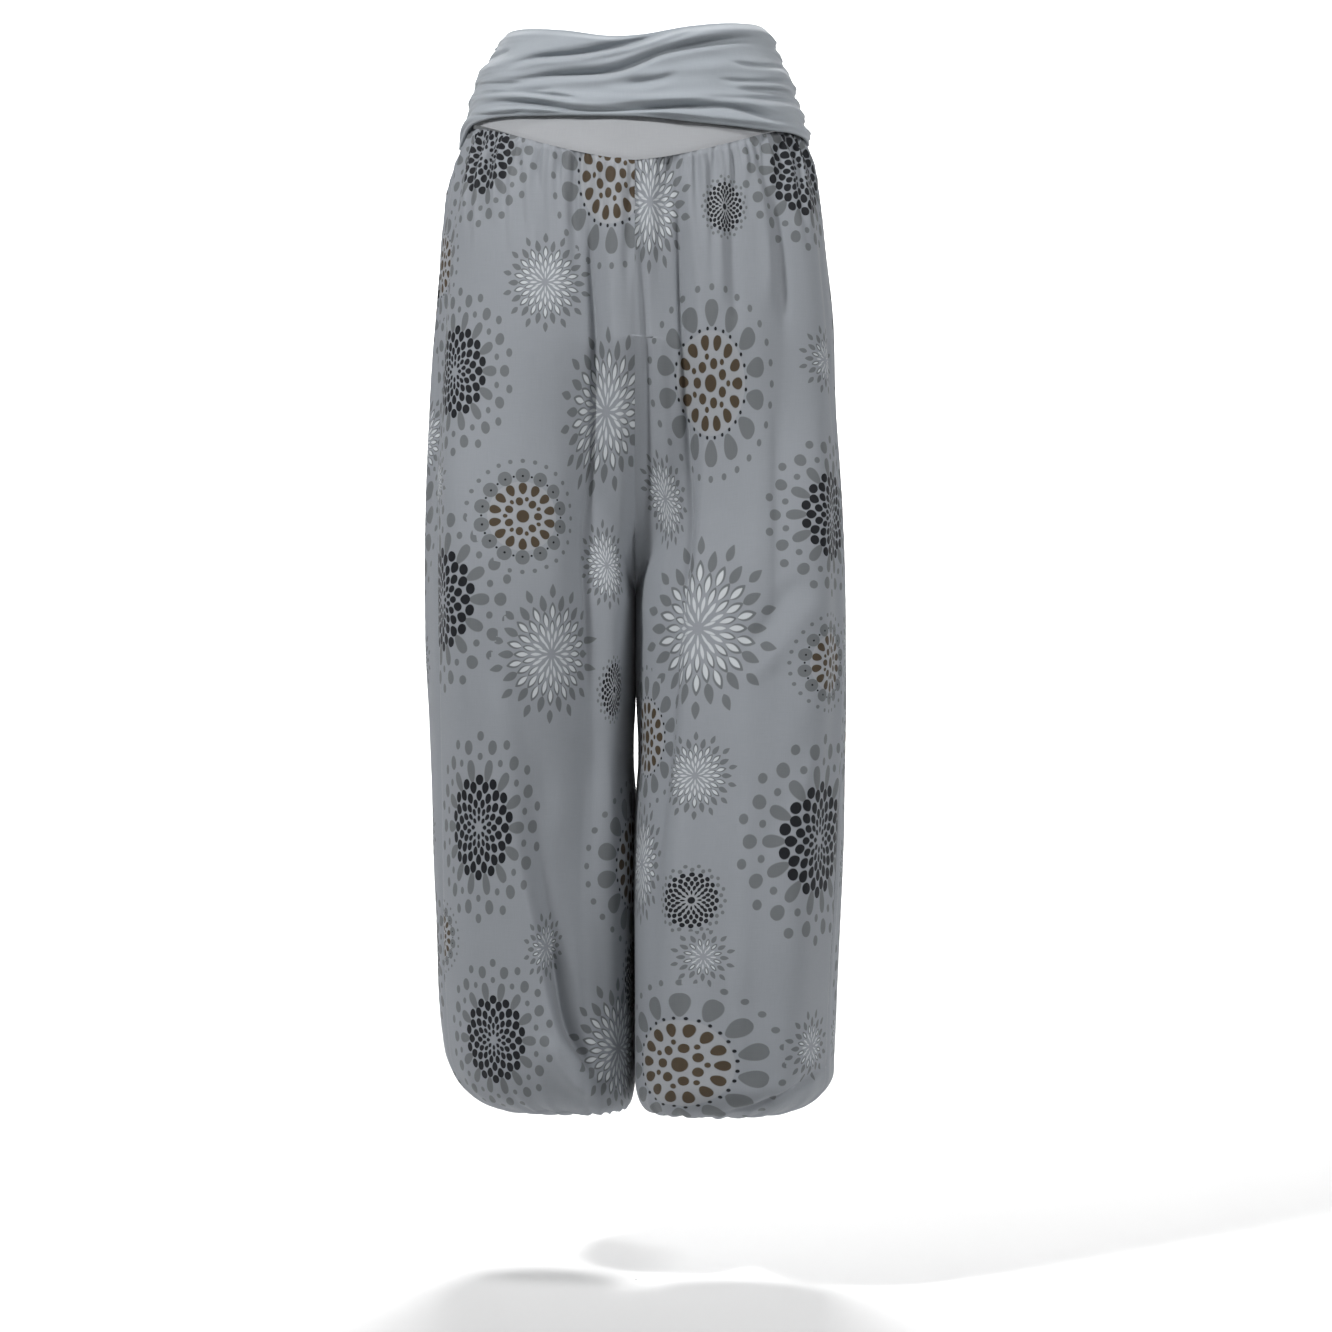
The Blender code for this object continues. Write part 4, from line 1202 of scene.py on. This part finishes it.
def band_outside(face, across, top, hem):
    """The band's outer face from the fold to the hem, and the way that it looks."""
    share = np.linspace(0.0, 1.0, BAND_ROWS + 1)[1:, None]
    drop = top + (hem - top) * share
    across = across + 0 * drop
    from_side = 1 - np.abs(across)
    normal = waist_normals(face, across, drop)
    base = waist_points(face, across, drop)
    hem_lift = BAND_LIFT_HEM + (BAND_LIFT_SIDE - BAND_LIFT_HEM) * np.abs(across) ** 3
    lift = BAND_LIFT_TOP + (hem_lift - BAND_LIFT_TOP) * smooth(share / BAND_LIFT_FULL)
    ruches = 0.5 - 0.5 * np.cos(2 * math.pi * RUCHES * share)
    lift += RUCHE_HEIGHT * np.maximum(0.0, 1 - from_side / RUCHE_REACH) * ruches
    quiet = smooth(share / BAND_QUIET_TOP) * smooth((1 - share) / BAND_QUIET_HEM)
    creases = BAND_CREASE_SCALE * crease_height(BAND_CREASES[face], base[..., 0], drop)
    creases += BAND_UNEVEN * soft_noise(base[..., 0] * 0.35, drop, 31 + face, BAND_BUMP)
    seamless = smooth(from_side / BAND_SEAMLESS)
    lift += seamless * (band_rolls(face, across, share) + quiet * creases)
    ripple = np.sin(2 * math.pi * (BAND_RIPPLES * share + 0.8 * np.sin(share * 9 + across)))
    from_side = from_side * QUARTER_GIRTH
    fine = BAND_SLACK * (1 - across**4)
    fine += BAND_RIPPLE * ripple * np.exp(-from_side / BAND_RIPPLE_REACH)
    fine -= BAND_SUNK * np.exp(-((from_side / SEAM_REACH) ** 2))
    lift = BAND_LEAST + softened(lift + quiet * fine - BAND_LEAST, BAND_LEAST)
    return base + normal * lift[..., None], normal


def add_band(face, material):
    """The ruched band: its return, the fold, the outside with its creases, the hem."""
    across = waist_columns(BAND_COLUMNS)
    top, hem = (BAND_EDGES[face].at(edge, across) for edge in ("top", "hem"))
    rows = []
    for share in BAND_RETURN_SHARES:
        drop = top + BAND_RETURN * share
        inward = waist_normals(face, across, drop) * (-JERSEY - BAND_RETURN_GAP)
        rows.append(waist_points(face, across, drop) + inward)
    outside, normal = band_outside(face, across, top, hem)
    within = rows[-1]
    for turn in np.linspace(0, math.pi, 7)[1:-1]:
        over = (outside[0] - within) * (0.5 - 0.5 * math.cos(turn))
        rows.append(within + over + (0, 0, TOP_ROLL * math.sin(turn)))
    rows += list(outside)
    for turn in np.linspace(0, math.pi, 7)[1:]:
        swing = normal[-1] * -HEM_ROLL * (1 - math.cos(turn))
        rows.append(outside[-1] + swing + (0, 0, -HEM_ROLL * math.sin(turn)))
    rolled = rows[-1]
    for up in HEM_TURN_UPS:
        rows.append(rolled + (0, 0, up) - normal[-1] * up * HEM_LEAN)
    points = np.stack(rows)
    across = distances(points[BAND_MIDDLE_ROW])
    maps = cloth_maps(across, distances(points).mean(axis=1)[:, None])
    place = FACE_NAMES[face]
    piece = (f"ruched_band_{place}", f"band_{place}", "band_jersey")
    return add_piece(*piece, points, maps, [material], outer=BAND_OUTSIDE)


YOKE_COLUMNS, YOKE_ROWS = 170, 60
YOKE_SUNK = 0.0008
YOKE_PUCKERS = 64
YOKE_PUCKER = 0.00035
YOKE_PUCKER_LENGTH = 0.007
YOKE_UNEVEN = 0.0006
YOKE_BUMP = 0.05
YOKE_QUIET = 0.02


def add_yoke(face, material):
    """The plain jersey yoke, sunk a little where it is sewn to the legs."""
    across = waist_columns(YOKE_COLUMNS)
    top = YOKE_TOP + np.maximum(0.0, BAND_EDGES[face].at("top", across))
    edge = yoke_edge(waist_points(face, across, YOKE_POINT)[:, 0])
    share = np.linspace(0.0, 1.0, YOKE_ROWS + 1)[:, None]
    drop = top + (edge - top) * share
    across = across + 0 * drop
    base = waist_points(face, across, drop)
    above = edge - drop
    pucker = uneven_wave((across + 1) / 2, YOKE_PUCKERS, 71 + face)
    uneven = soft_noise(base[..., 0], drop, 81 + face, YOKE_BUMP)
    lift = -YOKE_SUNK * np.exp(-((above / SEAM_REACH) ** 2))
    lift = lift + YOKE_PUCKER * pucker * np.exp(-above / YOKE_PUCKER_LENGTH)
    lift = lift + YOKE_UNEVEN * smooth(above / YOKE_QUIET) * uneven
    points = base + waist_normals(face, across, drop) * lift[..., None]
    maps = {
        "Cloth": np.stack([distances(points[-1]) + 0 * drop, -drop], axis=-1),
        "OFBake": np.stack([across / 2 + 0.5, 1 - share + 0 * across], axis=-1),
    }
    place = FACE_NAMES[face]
    piece = (f"plain_yoke_{place}", f"yoke_{place}", "yoke_jersey")
    return add_piece(*piece, points, maps, [material])


CASING_COLUMNS = 288
CASING_PLEATS = 24
# The steps at the corners of the casing's wall: down its outside, and up within
CASING_CORNERS = (0, 7, 12, 19, 24)


def add_cuff(side, material):
    """The elastic casing inside a bloused hem, finely gathered on its elastic."""
    turn = 2 * math.pi * np.arange(CASING_COLUMNS + 1) / CASING_COLUMNS
    pleat = CUFF_PLEAT * np.cos(turn * CASING_PLEATS + 0.6 * np.sin(5 * turn))
    steps = np.arange(CASING_CORNERS[-1] + 1)[:, None]
    inward = np.interp(steps, CASING_CORNERS, (0, 0, CUFF_WALL, CUFF_WALL, 0))
    low, high = CUFF_BOTTOM, CUFF_TOP
    drop = np.interp(steps, CASING_CORNERS, (high, low, low, high, high))
    reach = CUFF_RADIUS + pleat - inward
    x = side * (CUFF_CENTRE[side] + reach * np.cos(turn))
    points = stand(np.stack([x, reach * np.sin(turn), -drop + 0 * x], axis=-1))
    maps = cloth_maps(turn * CUFF_RADIUS, distances(points).mean(axis=1)[:, None])
    middle = stand(np.array([side * CUFF_CENTRE[side], 0.0, -CUFF_BOTTOM]))
    outer = slice(CASING_CORNERS[1])
    place = SIDE_NAMES[side]
    piece = (f"casing_{place}", f"cuff_{place}", "printed_viscose")
    return add_piece(*piece, points, maps, [material], middle, outer)


# --- Stage, camera and lights ---

EYE = (-0.0287, 3.3, -0.603)
VIEW_WIDTH = 1.2747
FLOOR_DROP = 1.19
STAGE_RADIUS, STAGE_CURVE, STAGE_HEIGHT = 5.2, 1.6, 6.5
SENSOR_WIDTH = 36.0


def add_camera():
    """A level camera behind the wearer, as wide as the view at the middle of the part."""
    lens = bpy.data.cameras.new("camera")
    lens.sensor_width = SENSOR_WIDTH
    lens.lens = SENSOR_WIDTH * EYE[1] / VIEW_WIDTH
    camera = add_object("camera", lens)
    camera.location = EYE
    camera.rotation_euler = (math.pi / 2, 0.0, math.pi)
    bpy.context.scene.camera = camera


def add_stage():
    """A pale floor that curves up into a backdrop, on every side a soft bowl."""
    angles = np.linspace(0, 2 * math.pi, 97)
    flat = STAGE_RADIUS - STAGE_CURVE
    profile = [(0.001, 0.0), (flat, 0.0)]
    for turn in np.linspace(0, math.pi / 2, 13)[1:]:
        profile.append((flat + STAGE_CURVE * math.sin(turn), STAGE_CURVE * (1 - math.cos(turn))))
    profile.append((STAGE_RADIUS, STAGE_HEIGHT))
    reach, up = np.array(profile).T[..., None]
    x, y = reach * np.cos(angles), reach * np.sin(angles)
    points = np.stack([x, y, up - FLOOR_DROP + 0 * x], axis=-1)
    mesh = grid_mesh("floor", points)
    material, g, shader = new_material("floor")
    place = g.node("ShaderNodeTexCoord").outputs["Object"]
    pale = g.blend(g.noise(place, 1.3, 2.0), *FLOOR_PALE)
    g.fill(shader, {"Base Color": pale, "Roughness": 0.9})
    mesh.materials.append(material)
    add_object("floor", mesh)


LIGHTS = (
    # name, place, size, power, spread in degrees, looks at
    ("key", (2.3, 2.3, 2.5), 0.4, 16.5, 60, (0.0, 0.0, -0.5)),
    ("fill", (-2.5, 2.1, 1.9), 0.8, 8.5, 60, (0.0, 0.0, -0.5)),
    ("floor", (0.0, -1.9, 2.6), 1.0, 80.0, 120, (0.0, -1.9, 0.0)),
    ("backdrop_left", (1.2, -2.8, 1.8), 0.8, 40.0, 110, (0.5, -5.2, -0.2)),
    ("backdrop_right", (-1.2, -2.8, 1.8), 0.8, 40.0, 110, (-0.5, -5.2, -0.2)),
    ("backdrop_top", (0.0, -2.8, 2.2), 1.0, 40.0, 120, (0.0, -5.2, 1.4)),
)
SKY = 0.12


def add_lights():
    """Soft studio lamps and an even sky."""
    for name, place, size, power, spread, target in LIGHTS:
        lamp = bpy.data.lights.new(name, "AREA")
        lamp.shape = "DISK"
        lamp.size = size
        lamp.energy = power
        lamp.spread = math.radians(spread)
        made = add_object(name, lamp)
        made.location = place
        x, y, z = np.array(target) - place
        tilt = math.atan2(math.hypot(x, y), -z)
        made.rotation_euler = (tilt, 0.0, math.atan2(y, x) - math.pi / 2)
    world = bpy.data.worlds.new("sky")
    world.use_nodes = True
    back = world.node_tree.nodes["Background"]
    back.inputs["Color"].default_value = (1.0, 1.0, 1.0, 1.0)
    back.inputs["Strength"].default_value = SKY
    bpy.context.scene.world = world
    bpy.context.scene.view_settings.view_transform = "Standard"


def main():
    """All the pieces, each with its cut, and the stage."""
    drops = ring_group()
    printed = [printed_material(kind, drops) for kind in KINDS]
    band_cloth = jersey_material("band_jersey", BAND_GREY, 0.30)
    yoke_cloth = jersey_material("yoke_jersey", YOKE_GREY, 0.20)
    for face in (BACK, FRONT):
        yoke = add_yoke(face, yoke_cloth)
        band = add_band(face, band_cloth)
        for side in (LEFT, RIGHT):
            panel = add_leg_panel(side, face, printed)
    for side in (LEFT, RIGHT):
        casing = add_cuff(side, printed[0])
    add_stage()
    add_camera()
    add_lights()


main()
